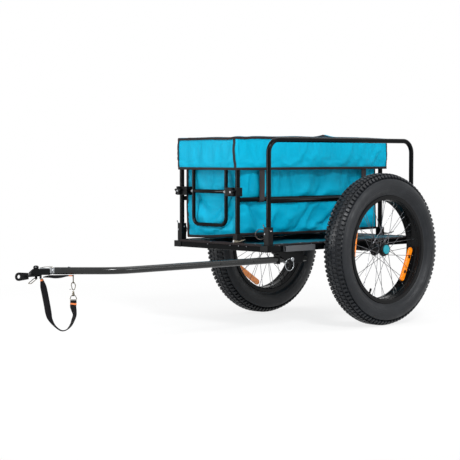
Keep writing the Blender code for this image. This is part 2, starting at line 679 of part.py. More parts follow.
def axle_button(name, parent, side):
    """The push button inside the hub's bezel, on a stem that slides in the axle."""
    face = HUB_OUTER_END + BUTTON_PROUD
    under = face - BUTTON_THICKNESS
    tip = AXLE_END - BUTTON_STEM_LENGTH
    chamfer = 0.12 * BUTTON_RADIUS
    profile = [
        (tip, 0), (tip, BUTTON_STEM_RADIUS), (under, BUTTON_STEM_RADIUS), (under, BUTTON_RADIUS),
        (face - chamfer, BUTTON_RADIUS), (face, BUTTON_RADIUS - chamfer), (face, 0),
    ]
    place = empty(f"{name}_button_axis", (side * HALF_TRACK, 0, WHEEL_RADIUS), parent)
    body = turned([(side * x, r) for x, r in profile], HUB_SIDES)
    add(f"{name}_axle_button", body, "turquoise", place)


def reflectors(name, parent, side, first_turn):
    """Two amber bars with rounded ends, each against the outer spokes that cross it."""
    half, width = REFLECTOR_LENGTH / 2 - REFLECTOR_WIDTH / 2, REFLECTOR_WIDTH / 2
    arc = arc_points(width, range(-90, 91, 45))
    outline = [(half + x, y) for x, y in arc] + [(-half - x, -y) for x, y in arc]
    outer = [spoke_ends(number, side) for number in range(0, 2 * SPOKES_PER_FLANGE, 2)]
    along = [hub.lerp(rim_end, step / SPOKE_STEPS) for hub, rim_end in outer for step in range(SPOKE_STEPS)]
    for label, turn in (("front", first_turn), ("rear", first_turn + SECOND_REFLECTOR_TURN)):
        out = Matrix.Rotation(turn, 4, "X") @ Matrix.Translation((0, REFLECTOR_MIDDLE_RADIUS, 0))
        local = [(point, out.inverted() @ point) for point in along]
        reach = width + SPOKE_RADIUS
        crossing = [side * p.x for p, q in local if math.hypot(max(abs(q.z) - half, 0), q.y) < reach]
        face = min(crossing) - SPOKE_RADIUS - GAP
        stand = out @ Matrix.Rotation(math.pi / 2, 4, "Y")
        bar = extruded(outline, side * (face - REFLECTOR_THICKNESS), side * face, stand)
        add(f"{name}_{label}_reflector", bar, "amber", parent)


def wheel(name, trailer, side, reflector_turn):
    axis = empty(f"{name}_wheel_axis", (side * HALF_TRACK, 0, WHEEL_RADIUS), trailer)
    valve_turn = reflector_turn + VALVE_FROM_REFLECTOR
    tyre(name, axis)
    inner_tube(name, axis, valve_turn)
    rim(name, axis, valve_turn)
    spoked_hub(name, axis, side)
    hub_bearings(name, axis, side)
    reflectors(name, axis, side, reflector_turn)
    axle(name, trailer, side)
    axle_button(name, trailer, side)


def base_frame(trailer):
    """The welded ladder of box rails, hollow and open at its front corners, with the axle tube under it."""
    front = -PLATFORM_FRONT + CAP_THICKNESS + GAP
    rear = PLATFORM_REAR
    made = add(
        "base_frame",
        box((-HALF_PLATFORM, front, RAIL_BOTTOM), (HALF_PLATFORM, rear, RAIL_TOP)),
        "powder_coat",
        trailer,
    )
    inside = HALF_PLATFORM - RAIL_WIDTH
    over, under = RAIL_TOP + RAIL_HEIGHT, RAIL_BOTTOM - RAIL_HEIGHT
    half = RAIL_WIDTH / 2
    for start, end in (
        (front + RAIL_WIDTH, MIDDLE_RAIL_Y - half),
        (MIDDLE_RAIL_Y + half, rear - RAIL_WIDTH),
    ):
        reshape(made, "DIFFERENCE", box((-inside, start, under), (inside, end, over)))
    low, high = RAIL_BOTTOM + RAIL_WALL, RAIL_TOP - RAIL_WALL
    for side in (-1, 1):
        near, far = side * (inside + RAIL_WALL), side * (HALF_PLATFORM - RAIL_WALL)
        reshape(made, "DIFFERENCE", box((near, front - RAIL_WIDTH, low), (far, rear - RAIL_WALL, high)))
    bore = RAIL_WIDTH - 2 * RAIL_WALL
    reach = inside + RAIL_WIDTH / 2
    slack = 0.1 * RAIL_WALL  # keeps a cross rail's bore off the planes of the side rails' bores
    for start in (front + RAIL_WALL, MIDDLE_RAIL_Y - bore / 2, rear - RAIL_WIDTH + RAIL_WALL):
        cut = box((-reach, start, low + slack), (reach, start + bore - slack, high - slack))
        reshape(made, "DIFFERENCE", cut)
    ends = (-AXLE_TUBE_HALF, 0, WHEEL_RADIUS), (AXLE_TUBE_HALF, 0, WHEEL_RADIUS)
    reshape(made, "UNION", rod(*ends, AXLE_TUBE_RADIUS, HOLE_SIDES))
    past = 1.1 * AXLE_TUBE_HALF
    ends = (-past, 0, WHEEL_RADIUS), (past, 0, WHEEL_RADIUS)
    reshape(made, "DIFFERENCE", rod(*ends, AXLE_RADIUS + SLIP, HUB_SIDES))


def rail_end_caps(trailer):
    """A plastic cap in the open front end of each side rail."""
    plug_width = RAIL_WIDTH / 2 - RAIL_WALL - GAP
    plug_height = RAIL_HEIGHT / 2 - RAIL_WALL - GAP
    middle = (RAIL_TOP + RAIL_BOTTOM) / 2
    face = -PLATFORM_FRONT
    for name, side in (("left", 1), ("right", -1)):
        x = side * RAIL_AXIS_X
        half = RAIL_WIDTH / 2
        plate = box((x - half, face, RAIL_BOTTOM), (x + half, face + CAP_THICKNESS, RAIL_TOP))
        made = add(f"{name}_rail_end_cap", plate, "grey_plastic", trailer)
        plug = box(
            (x - plug_width, face + CAP_THICKNESS / 2, middle - plug_height),
            (x + plug_width, face + CAP_PLUG, middle + plug_height),
        )
        reshape(made, "UNION", plug)


def deck(trailer):
    """The deck sheet over the rails, notched round the four hoop sockets."""
    half = HALF_PLATFORM - DECK_INSET
    front, rear = -PLATFORM_FRONT + DECK_INSET, PLATFORM_REAR - DECK_INSET
    notch = SOCKET_SIDE / 2 + GAP
    inner = RAIL_AXIS_X - notch
    after_front, before_rear = HOOP_FRONT_Y + notch, HOOP_REAR_Y - notch
    outline = [
        (-inner, front), (inner, front), (inner, after_front), (half, after_front), (half, before_rear),
        (inner, before_rear), (inner, rear), (-inner, rear), (-inner, before_rear), (-half, before_rear),
        (-half, after_front), (-inner, after_front),
    ]
    add("deck_sheet", extruded(outline, RAIL_TOP + GAP, DECK_TOP), "deck_fabric", trailer)


def hoop(name, trailer, x, foot, pin_height):
    """One rail hoop of bent tube with a middle rail welded across, hollow from both feet."""
    front, rear = HOOP_FRONT_Y, HOOP_REAR_Y
    corners = [(x, front, foot), (x, front, HOOP_TOP), (x, rear, HOOP_TOP), (x, rear, foot)]
    path = rounded(corners, HOOP_BEND_RADIUS, BEND_STEPS)
    made = add(name, swept(path, circle(HOOP_TUBE_RADIUS, TUBE_SIDES), (1, 0, 0)), "powder_coat", trailer)
    ends = (x, front, HOOP_MIDDLE), (x, rear, HOOP_MIDDLE)
    reshape(made, "UNION", rod(*ends, HOOP_RAIL_RADIUS, TUBE_SIDES))
    bore = HOOP_TUBE_RADIUS - HOOP_TUBE_WALL
    corners[0] = (x, front, foot - HOOP_TUBE_RADIUS)
    corners[-1] = (x, rear, foot - HOOP_TUBE_RADIUS)
    inner = rounded(corners, HOOP_BEND_RADIUS, BEND_STEPS)
    reshape(made, "DIFFERENCE", swept(inner, circle(bore, BORE_SIDES), (1, 0, 0)))
    reshape(made, "DIFFERENCE", rod(*ends, HOOP_RAIL_RADIUS - HOOP_TUBE_WALL, BORE_SIDES))
    if pin_height is not None:
        reach = 2 * HOOP_TUBE_RADIUS
        for y in (front, rear):
            ends = (x - reach, y, pin_height), (x + reach, y, pin_height)
            reshape(made, "DIFFERENCE", rod(*ends, HOOP_PIN_RADIUS + SLIP, PIN_SIDES))


def socket(name, trailer, x, y, pin_height):
    half = SOCKET_SIDE / 2
    foot = RAIL_TOP + GAP
    block = box((x - half, y - half, foot), (x + half, y + half, SOCKET_TOP))
    made = add(name, block, "black_plastic", trailer)
    ends = (x, y, foot + SOCKET_FLOOR), (x, y, SOCKET_TOP + half)
    bore = rod(*ends, HOOP_TUBE_RADIUS + SLIP, HOLE_SIDES)
    ends = (x - SOCKET_SIDE, y, pin_height), (x + SOCKET_SIDE, y, pin_height)
    reshape(made, "DIFFERENCE", bore, rod(*ends, HOOP_PIN_RADIUS + SLIP, PIN_SIDES))


def hoop_pin(name, trailer, x, y, pin_height, lean):
    """A locking pin through a socket and the hoop's leg, put in from its right, with a pull ring."""
    axis = empty(f"{name}_axis", (x, y, pin_height), trailer)
    face = SOCKET_SIDE / 2 + GAP
    head = face + HOOP_PIN_HEAD_LENGTH
    tip = -SOCKET_SIDE / 2 - HOOP_PIN_TIP
    profile = [
        (tip, 0), (tip, HOOP_PIN_RADIUS), (face, HOOP_PIN_RADIUS), (face, HOOP_PIN_HEAD_RADIUS),
        (head, HOOP_PIN_HEAD_RADIUS), (head, 0),
    ]
    made = add(name, turned([(-a, r) for a, r in profile], PIN_SIDES), "zinc", axis)
    lean = Vector(lean).normalized()
    middle = Vector((-face - HOOP_PIN_HEAD_LENGTH / 2, 0, -PIN_RING_DROP)) + PIN_RING_LEAN * lean
    reshape(made, "UNION", ring(middle, PIN_RING_RADIUS, PIN_RING_WIRE, lean.cross((0, 0, 1))))


def base_clamp(name, trailer, x, y, end):
    """The block on the deck that holds a leg of the middle hoop, with a hole for the cam's bolt."""
    long, wide = BASE_CLAMP_LENGTH / 2, BASE_CLAMP_WIDTH / 2
    top = CLAMP_FOOT + BASE_CLAMP_HEIGHT
    block = box((x - wide, y - long, CLAMP_FOOT), (x + wide, y + long, top))
    made = add(name, block, "black_plastic", trailer)
    ends = (x, y, CLAMP_FOOT + SOCKET_FLOOR), (x, y, top + wide)
    bore = rod(*ends, HOOP_TUBE_RADIUS + SLIP, HOLE_SIDES)
    pivot = CLAMP_FOOT + CAM_PIVOT_HEIGHT
    start, stop = y + end * (long - CAM_BOLT_DEPTH - GAP), y + end * 2 * long
    hole = rod((x, start, pivot), (x, stop, pivot), CAM_BOLT_RADIUS + SLIP, PIN_SIDES)
    reshape(made, "DIFFERENCE", bore, hole)


def cam_lever(name, trailer, x, y, end):
    """A cam lever on its clamp's outer face, lying along the deck's edge and turning up about its bolt."""
    face = BASE_CLAMP_LENGTH / 2 + GAP
    pivot = empty(f"{name}_pivot", (x, y + end * face, CLAMP_FOOT + CAM_PIVOT_HEIGHT), trailer)
    radius, thin = CAM_HEAD_RADIUS, CAM_LEVER_THICKNESS
    head = arc_points(radius, range(45, 316, 45))
    bend = 0.5 * CAM_LEVER_REACH
    outline = [
        *head, (bend, -thin / 2), (CAM_LEVER_REACH, CAM_LEVER_RISE - thin / 2),
        (CAM_LEVER_REACH, CAM_LEVER_RISE + thin / 2), (bend, thin / 2),
    ]
    turn = Matrix.Rotation(math.pi / 2, 4, "X")
    made = add(name, extruded(outline, 0, -end * CAM_LEVER_WIDTH, turn), "zinc", pivot)
    start, stop = (0, end * CAM_LEVER_WIDTH / 2, 0), (0, -end * (GAP + CAM_BOLT_DEPTH), 0)
    reshape(made, "UNION", rod(start, stop, CAM_BOLT_RADIUS, PIN_SIDES))


def front_guard(trailer):
    """The closed loop of thin tube ahead of the bag, with its cross bar."""
    low, high = RAIL_TOP + GUARD_BOTTOM_ABOVE_DECK, RAIL_TOP + GUARD_TOP_ABOVE_DECK
    left, right = GUARD_LEFT_X, GUARD_RIGHT_X
    corners = [(left, GUARD_Y, low), (left, GUARD_Y, high), (right, GUARD_Y, high), (right, GUARD_Y, low)]
    path = rounded(corners, GUARD_CORNER_RADIUS, BEND_STEPS, closed=True)
    loop = swept(path, circle(GUARD_TUBE_RADIUS, TUBE_SIDES), (0, 1, 0), closed=True)
    made = add("front_guard_loop", loop, "powder_coat", trailer)
    height = RAIL_TOP + GUARD_BAR_ABOVE_DECK
    ends = (BAR_END[-1], GUARD_Y, height), (BAR_END[1], GUARD_Y, height)
    reshape(made, "UNION", rod(*ends, GUARD_BAR_RADIUS, TUBE_SIDES))


def guard_clamp(name, trailer, side, arm):
    """The moulded clamp that joins the guard's bar to a hoop's front leg."""
    height = RAIL_TOP + GUARD_BAR_ABOVE_DECK
    leg = GUARD_LEG_X[side]
    outer = leg + side * (HOOP_TUBE_RADIUS + SLIP + GUARD_CLAMP_WALL)
    inner = leg - side * arm
    rear = HOOP_FRONT_Y + HOOP_TUBE_RADIUS + SLIP + GUARD_CLAMP_WALL
    low, high = height - GUARD_CLAMP_HEIGHT / 2, height + GUARD_CLAMP_HEIGHT / 2
    block = box((inner, GUARD_CLAMP_FRONT, low), (outer, rear, high))
    made = add(name, block, "black_plastic", trailer)
    past = GUARD_CLAMP_HEIGHT
    ends = (leg, HOOP_FRONT_Y, low - past), (leg, HOOP_FRONT_Y, high + past)
    post = rod(*ends, HOOP_TUBE_RADIUS + SLIP, HOLE_SIDES)
    ends = (inner - side * past, GUARD_Y, height), (BAR_END[side] + side * GAP, GUARD_Y, height)
    bar = rod(*ends, GUARD_BAR_RADIUS + SLIP, HOLE_SIDES)
    knob_x = leg - side * KNOB_FROM_LEG
    deep = GUARD_CLAMP_FRONT + KNOB_STUD_LENGTH + GAP
    ends = (knob_x, GUARD_CLAMP_FRONT - past, height), (knob_x, deep, height)
    reshape(made, "DIFFERENCE", post, bar, rod(*ends, KNOB_STUD_RADIUS + SLIP, PIN_SIDES))


def star_knob(name, trailer, side):
    """A star knob whose stud screws into the clamp's front face."""
    height = RAIL_TOP + GUARD_BAR_ABOVE_DECK
    face = GUARD_CLAMP_FRONT - GAP
    axis = empty(f"{name}_axis", (GUARD_LEG_X[side] - side * KNOB_FROM_LEG, face, height), trailer)
    count = 4 * KNOB_LOBES
    radii = [KNOB_RADIUS * (1 if k % 4 < 2 else KNOB_VALLEY) for k in range(count)]
    outline = [arc_points(r, [360 * k / count])[0] for k, r in enumerate(radii)]
    turn = Matrix.Rotation(math.pi / 2, 4, "X")
    made = add(name, extruded(outline, 0, KNOB_THICKNESS, turn), "black_plastic", axis)
    ends = (0, -KNOB_THICKNESS / 2, 0), (0, KNOB_STUD_LENGTH, 0)
    reshape(made, "UNION", rod(*ends, KNOB_STUD_RADIUS, PIN_SIDES))


def rounded_box_ring(shape, left, right, front, rear, height, radius):
    """A level ring of vertices round a rectangle with rounded corners."""
    corners = [
        (left - radius, rear - radius, 0), (right + radius, rear - radius, 90),
        (right + radius, front + radius, 180), (left - radius, front + radius, 270),
    ]
    out = []
    for x, y, start in corners:
        for u, v in arc_points(radius, [start + 90 * k / BEND_STEPS for k in range(BEND_STEPS + 1)]):
            out.append(shape.verts.new((x + u, y + v, height)))
    return out


def bag(trailer):
    """The open bag between the right and the middle hoop, its cloth's two faces joined at the rim."""
    shape = bmesh.new()
    bottom = RAIL_TOP + BAG_BOTTOM_ABOVE_DECK
    quarter = bottom + (BAG_TOP - bottom) / 4
    levels = [(BAG_TOP, 0), (quarter, 0.1), (bottom + 2 * BAG_LEFT_LIFT, 0.55), (bottom, 1)]
    span = BAG_LEFT - BAG_RIGHT
    outer, inner = [], []
    for height, tuck in levels:
        for rings, wall in ((outer, 0), (inner, BAG_WALL)):
            right = BAG_RIGHT + tuck * BAG_RIGHT_TUCK + wall
            sides = (BAG_LEFT - wall, right, BAG_FRONT + wall, BAG_REAR - wall)
            floor = wall if height == bottom else 0
            level = rounded_box_ring(shape, *sides, height + floor, BAG_CORNER_RADIUS - wall)
            if height == bottom:
                for vertex in level:
                    vertex.co.z += BAG_LEFT_LIFT * (vertex.co.x - BAG_RIGHT) / span
            rings.append(level)
    for rings in (outer, inner):
        for first, second in zip(rings, rings[1:]):
            bridge(shape, first, second)
        shape.faces.new(rings[-1])
    bridge(shape, outer[0], inner[0])
    add("bag", shape, "bag_fabric", trailer)


def bag_cuff(trailer):
    """The band of cloth folded over the top rails, hanging outside them."""
    shape = bmesh.new()
    left = MIDDLE_HOOP_X + HOOP_TUBE_RADIUS + CUFF_LEFT_SLACK + CUFF_WALL
    right = -RAIL_AXIS_X - HOOP_TUBE_RADIUS - CUFF_RIGHT_SLACK - CUFF_WALL
    front, rear = CUFF_FRONT_Y, CUFF_REAR_Y
    wall, radius = CUFF_WALL, CUFF_CORNER_RADIUS
    outside = (left, right, front, rear)
    within = (left - wall, right + wall, front + wall, rear - wall)
    opening = (BAG_LEFT - BAG_WALL, BAG_RIGHT + BAG_WALL, BAG_FRONT + BAG_WALL, BAG_REAR - BAG_WALL)
    top, under, hem = CUFF_TOP, CUFF_TOP - CUFF_WALL, CUFF_TOP - CUFF_DROP
    opening_radius = BAG_CORNER_RADIUS - BAG_WALL
    rings = [
        rounded_box_ring(shape, *sides, height, corner)
        for sides, height, corner in (
            (outside, hem, radius), (outside, top, radius), (opening, top, opening_radius),
            (opening, under, opening_radius), (within, under, radius - wall), (within, hem, radius - wall),
        )
    ]
    for first, second in zip(rings, [*rings[1:], rings[0]]):
        bridge(shape, first, second)
    add("bag_cuff", shape, "bag_fabric", trailer)


def side_strap(name, trailer, y):
    """A webbing strap from the cuff's hem down and round the middle hoop's middle rail."""
    thick = SIDE_STRAP_THICKNESS
    out = MIDDLE_HOOP_X + HOOP_TUBE_RADIUS + GAP
    low = HOOP_MIDDLE - HOOP_TUBE_RADIUS - GAP
    top = CUFF_TOP - CUFF_DROP - GAP
    under = MIDDLE_HOOP_X - 0.6 * HOOP_TUBE_RADIUS
    outline = [
        (out, top), (out, low + 2 * thick), (out - 2 * thick, low), (under, low), (under, low - thick),
        (out - thick, low - thick), (out + thick, low + thick), (out + thick, top),
    ]
    turn = Matrix.Rotation(math.pi / 2, 4, "X")
    half = SIDE_STRAP_WIDTH / 2
    add(name, extruded(outline, -y - half, -y + half, turn), "grey_webbing", trailer)


def tow_bar(trailer):
    """The bent tow tube, open at both ends, with the tow pin's hole across it."""
    start = Vector((TOW_BAR_X, TOW_BAR_REAR_Y, TOW_BAR_Z))
    path = rounded([start, TOW_CORNER, TOW_END], TOW_BEND_RADIUS, BEND_STEPS)
    tube = swept(path, circle(TOW_TUBE_RADIUS, TOW_TUBE_SIDES), (0, 0, 1))
    made = add("tow_bar", tube, "tow_bar_grey", trailer)
    back = start + Vector((0, TOW_TUBE_RADIUS, 0))
    on = TOW_END + TOW_TUBE_RADIUS * TOW_DIRECTION
    inner = rounded([back, TOW_CORNER, on], TOW_BEND_RADIUS, BEND_STEPS)
    bore = circle(TOW_TUBE_RADIUS - TOW_TUBE_WALL, TOW_TUBE_SIDES)
    reshape(made, "DIFFERENCE", swept(inner, bore, (0, 0, 1)))
    reach = 2 * TOW_TUBE_RADIUS
    ends = (TOW_BAR_X - reach, TOW_PIN_Y, TOW_BAR_Z), (TOW_BAR_X + reach, TOW_PIN_Y, TOW_BAR_Z)
    reshape(made, "DIFFERENCE", rod(*ends, TOW_PIN_RADIUS + SLIP, PIN_SIDES))


def tow_receiver(trailer):
    """The bracket under the left rail that holds the tow bar, with a saddle clip round it in front."""
    half = RECEIVER_HALF
    low, top = TOW_BAR_Z - half, RAIL_BOTTOM - GAP
    slope_end = RECEIVER_FRONT_Y + RECEIVER_SLOPE_END
    outline = [
        (RECEIVER_FRONT_Y, top), (RECEIVER_FRONT_Y, top - RECEIVER_BROW),
        (slope_end, TOW_BAR_Z - 0.7 * half), (slope_end + 0.3 * half, low),
        (RECEIVER_REAR_Y, low), (RECEIVER_REAR_Y, top),
    ]
    turn = Matrix.Rotation(math.pi / 2, 4, "Z") @ Matrix.Rotation(math.pi / 2, 4, "X")
    bracket = extruded(outline, TOW_BAR_X - half, TOW_BAR_X + half, turn)
    made = add("tow_bar_receiver", bracket, "black_plastic", trailer)
    thick, wide = SADDLE_CLIP_WIDTH / 2, half - SLIP
    low_corner = TOW_BAR_X - wide, SADDLE_CLIP_Y - thick, low
    high_corner = TOW_BAR_X + wide, SADDLE_CLIP_Y + thick, top - RECEIVER_BROW / 2
    reshape(made, "UNION", box(low_corner, high_corner))
    past = TOW_TUBE_RADIUS
    ends = (TOW_BAR_X, RECEIVER_FRONT_Y - past, TOW_BAR_Z), (TOW_BAR_X, RECEIVER_REAR_Y + past, TOW_BAR_Z)
    bore = rod(*ends, TOW_TUBE_RADIUS + SLIP, HOLE_SIDES)
    ends = (TOW_BAR_X - 2 * half, TOW_PIN_Y, TOW_BAR_Z), (TOW_BAR_X + 2 * half, TOW_PIN_Y, TOW_BAR_Z)
    reshape(made, "DIFFERENCE", bore, rod(*ends, TOW_PIN_RADIUS + SLIP, PIN_SIDES))


def tow_pin(trailer):
    """The cross pin that holds the tow bar, with a ring hanging from its head."""
    axis = empty("tow_pin_axis", (TOW_BAR_X, TOW_PIN_Y, TOW_BAR_Z), trailer)
    face = RECEIVER_HALF + GAP
    head = face + TOW_PIN_HEAD_LENGTH
    profile = [
        (-face, 0), (-face, TOW_PIN_RADIUS), (face, TOW_PIN_RADIUS), (face, TOW_PIN_HEAD_RADIUS),
        (head, TOW_PIN_HEAD_RADIUS), (head, 0),
    ]
    made = add("tow_pin", turned(profile, PIN_SIDES), "zinc", axis)
    middle = (face + TOW_PIN_HEAD_LENGTH / 2, -TOW_RING_LEAN, -TOW_RING_DROP)
    reshape(made, "UNION", ring(middle, TOW_RING_RADIUS, TOW_RING_WIRE, (1, 0, 0)))


def side_sleeve(trailer):
    """The flat open box section along the outside of the left rail."""
    near, far = HALF_PLATFORM + GAP, HALF_PLATFORM + GAP + SIDE_SLEEVE_WIDTH
    high = RAIL_TOP - SIDE_SLEEVE_BELOW_RAIL_TOP
    low = high - SIDE_SLEEVE_HEIGHT
    front, rear, wall = SIDE_SLEEVE_FRONT_Y, SIDE_SLEEVE_REAR_Y, SIDE_SLEEVE_WALL
    made = add("side_sleeve", box((near, front, low), (far, rear, high)), "grey_plastic", trailer)
    inside = box((near + wall, front - wall, low + wall), (far - wall, rear + wall, high - wall))
    reshape(made, "DIFFERENCE", inside)


def hitch_collar(hitch):
    """The waisted metal collar between the tow tube's end and the coupler, with a spigot inside the tube."""
    start, end = GAP, GAP + COLLAR_LENGTH
    third = COLLAR_LENGTH / 3
    bore = SHANK_RADIUS + SLIP
    spigot = TOW_TUBE_RADIUS - TOW_TUBE_WALL - SLIP
    profile = [
        (-COLLAR_SPIGOT, bore), (-COLLAR_SPIGOT, spigot), (start, spigot), (start, COLLAR_RADIUS),
        (start + third, COLLAR_RADIUS), (start + 1.3 * third, COLLAR_WAIST),
        (end - 1.3 * third, COLLAR_WAIST), (end - third, COLLAR_RADIUS), (end, COLLAR_RADIUS), (end, bore),
    ]
    body = turned(profile, HUB_SIDES, Matrix.Rotation(-math.pi / 2, 4, "Z"))
    add("hitch_collar", body, "zinc", hitch)


def hitch_coupler(hitch):
    """The black coupler on the bar's end: shank, body with the pin's hole, and the staple for the strap."""
    start, end = -COUPLER_START, -COUPLER_FRONT
    half = COUPLER_WIDTH / 2
    chamfer = 0.3 * COUPLER_WIDTH
    outline = [
        (-half, start), (half, start), (half, end + chamfer), (half - chamfer, end), (chamfer - half, end),
        (-half, end + chamfer),
    ]
    body = extruded(outline, -COUPLER_BELOW_AXIS, COUPLER_ABOVE_AXIS)
    made = add("hitch_coupler", body, "black_plastic", hitch)
    ends = (0, start - GAP - half, 0), (0, start - COUPLER_START - GAP + SHANK_LENGTH, 0)
    reshape(made, "UNION", rod(*ends, SHANK_RADIUS, HUB_SIDES))
    y, reach = -HITCH_PIVOT_RUN, 2 * COUPLER_BELOW_AXIS
    reshape(made, "DIFFERENCE", rod((0, y, -reach), (0, y, reach), HITCH_PIN_RADIUS + SLIP, HUB_SIDES))
    wide, wire = STAPLE_WIDTH / 2, STAPLE_WIRE
    low, high = -COUPLER_BELOW_AXIS - STAPLE_DROP, -COUPLER_BELOW_AXIS + wire
    middle, inner = STAPLE_Y, wide - 0.75 * wire
    block = box((-wide, middle - wire / 2, low), (wide, middle + wire / 2, high))
    top = -COUPLER_BELOW_AXIS - GAP
    slot = box((-inner, middle - wire, low + 0.6 * wire), (inner, middle + wire, top))
    reshape(made, "UNION", block)
    reshape(made, "DIFFERENCE", slot)


def hitch_latch(hitch):
    """A flat spring lever on top of the coupler, hinged at its front end."""
    thin = LATCH_THICKNESS
    z = COUPLER_ABOVE_AXIS + GAP + thin
    pivot = empty("hitch_latch_pivot", (0, LATCH_PIVOT_Y, z), hitch)
    half = LATCH_WIDTH / 2
    outline = [
        (0, -thin), (LATCH_LENGTH - 3 * thin, -thin), (LATCH_LENGTH, 0), (LATCH_LENGTH - thin, thin),
        (LATCH_LENGTH - 3.5 * thin, 0), (0, thin), (-thin, 0),
    ]
    turn = Matrix.Rotation(math.pi / 2, 4, "Z") @ Matrix.Rotation(math.pi / 2, 4, "X")
    add("hitch_latch", extruded(outline, -half, half, turn), "zinc", pivot)


def axle_plate(pivot):
    """The plate that bolts to the bicycle: a level tongue under the coupler, an upright eye ahead."""
    low = TONGUE_TOP - TONGUE_THICKNESS
    radius = TONGUE_WIDTH / 2
    arc = arc_points(radius, range(0, 181, 30))
    outline = [*arc, (-radius, -EYE_PLATE_START - radius), (radius, -EYE_PLATE_START - radius)]
    made = add("axle_plate", extruded(outline, low, TONGUE_TOP), "black_steel", pivot)
    eye = EYE_PLATE_RADIUS
    middle = (TONGUE_TOP + low) / 2
    y = -EYE_FROM_PIVOT
    start = -EYE_PLATE_START
    side = [(y + u, v) for u, v in arc_points(eye, range(90, 271, 30))]
    upright = [*side, (start, -0.75 * eye), (start, 0.75 * eye)]
    half = EYE_PLATE_THICKNESS / 2
    stand = Matrix.Rotation(math.pi / 2, 4, "Y") @ Matrix.Rotation(math.pi / 2, 4, "Z")
    turn = Matrix.Translation((0, 0, middle)) @ stand
    reshape(made, "UNION", extruded(upright, -half, half, turn))
    hole = rod((-eye, y, middle), (eye, y, middle), EYE_HOLE_RADIUS, HUB_SIDES)
    pin = rod((0, 0, low - radius), (0, 0, TONGUE_TOP + radius), HITCH_PIN_RADIUS + SLIP, HUB_SIDES)
    reshape(made, "DIFFERENCE", hole, pin)


def hitch_pin(pivot):
    """The upright pin through coupler and tongue, with a round head on top."""
    foot = TONGUE_TOP - TONGUE_THICKNESS - HITCH_PIN_BELOW
    seat = COUPLER_ABOVE_AXIS + GAP
    top = seat + HITCH_KNOB_HEIGHT
    rim_radius = HITCH_KNOB_RADIUS
    profile = [
        (foot, 0), (foot, HITCH_PIN_RADIUS), (seat, HITCH_PIN_RADIUS), (seat, 0.8 * rim_radius),
        (seat + HITCH_KNOB_HEIGHT / 3, rim_radius), (top - HITCH_KNOB_HEIGHT / 3, rim_radius),
        (top, 0.6 * rim_radius), (top, 0),
    ]
    body = turned(profile, HUB_SIDES, Matrix.Rotation(-math.pi / 2, 4, "Y"))
    made = add("hitch_pin", body, "black_steel", pivot)
    z = foot + HITCH_PIN_BELOW / 3
    reach = 2 * HITCH_PIN_RADIUS
    reshape(made, "DIFFERENCE", rod((-reach, 0, z), (reach, 0, z), BAIL_WIRE + SLIP, PIN_SIDES))


def pin_bail(pivot):
    """The wire bail through the hitch pin's foot, which swings clear of the tongue."""
    foot = TONGUE_TOP - TONGUE_THICKNESS - HITCH_PIN_BELOW + HITCH_PIN_BELOW / 3
    axis = empty("hitch_pin_bail_axis", (0, 0, foot), pivot)
    half = HITCH_PIN_RADIUS + 3 * BAIL_WIRE
    y, z = -BAIL_REACH, -BAIL_DROP
    corners = [(-half, 0, 0), (half, 0, 0), (half, y, z), (-half, y, z)]
    path = rounded(corners, 2.5 * BAIL_WIRE, 2, closed=True)
    across = Vector((0, -BAIL_DROP, BAIL_REACH)).normalized()
    add("hitch_pin_bail", swept(path, circle(BAIL_WIRE, WIRE_SIDES), across, closed=True), "zinc", axis)


def ribbon(points, twists, width, thickness):
    """A flat strap along points in the Y and Z plane; a twist of 90 degrees lays its width in that plane."""
    shape = bmesh.new()
    rings = []
    for i, point in enumerate(points):
        ahead = points[min(i + 1, len(points) - 1)] - points[max(i - 1, 0)]
        flat = Matrix.Rotation(math.radians(twists[i]), 3, ahead.normalized())
        along = flat @ Vector((1, 0, 0))
        through = ahead.normalized().cross(along)
        corners = ((-1, -1), (1, -1), (1, 1), (-1, 1))
        across, up = along * width / 2, through * thickness / 2
        rings.append([shape.verts.new(point + across * u + up * v) for u, v in corners])
    for first, second in zip(rings, rings[1:]):
        bridge(shape, first, second)
    shape.faces.new(rings[0])
    shape.faces.new(rings[-1])
    return shape


def strap_frame(run, height):
    """A point of the strap's plane in the hitch's frame."""
    return Vector((0, -(run - TOW_FRONT_RUN), height))


def safety_strap(hitch):
    """The webbing loop that hangs from the coupler's staple and comes back up to the swivel ring."""
    route = smooth([(*strap_frame(run, z).yz, twist) for run, z, twist in STRAP_ROUTE], STRAP_STEPS)
    points = [Vector((0, y, z)) for y, z, _ in route]
    twists = [twist for _, _, twist in route]
    add("safety_strap", ribbon(points, twists, STRAP_WIDTH, STRAP_THICKNESS), "black_webbing", hitch)


def strap_anchor(hitch):
    """The short webbing run under the bar, from the staple back to a ring."""
    points = smooth([strap_frame(run, z) for run, z in ANCHOR_ROUTE], STRAP_STEPS)
    web = ribbon(points, [0] * len(points), STRAP_WIDTH, STRAP_THICKNESS)
    made = add("strap_anchor_web", web, "black_webbing", hitch)
    half = ANCHOR_RING_WIDTH / 2
    y = strap_frame(ANCHOR_RING_PLACE, 0).y
    low, high = ANCHOR_RING_BOTTOM, ANCHOR_RING_TOP
    corners = [(-half, y, low), (half, y, low), (half, y, high), (-half, y, high)]
    path = rounded(corners, 0.8 * half, 3, closed=True)
    reshape(made, "UNION", swept(path, circle(ANCHOR_RING_WIRE, WIRE_SIDES), (0, 1, 0), closed=True))


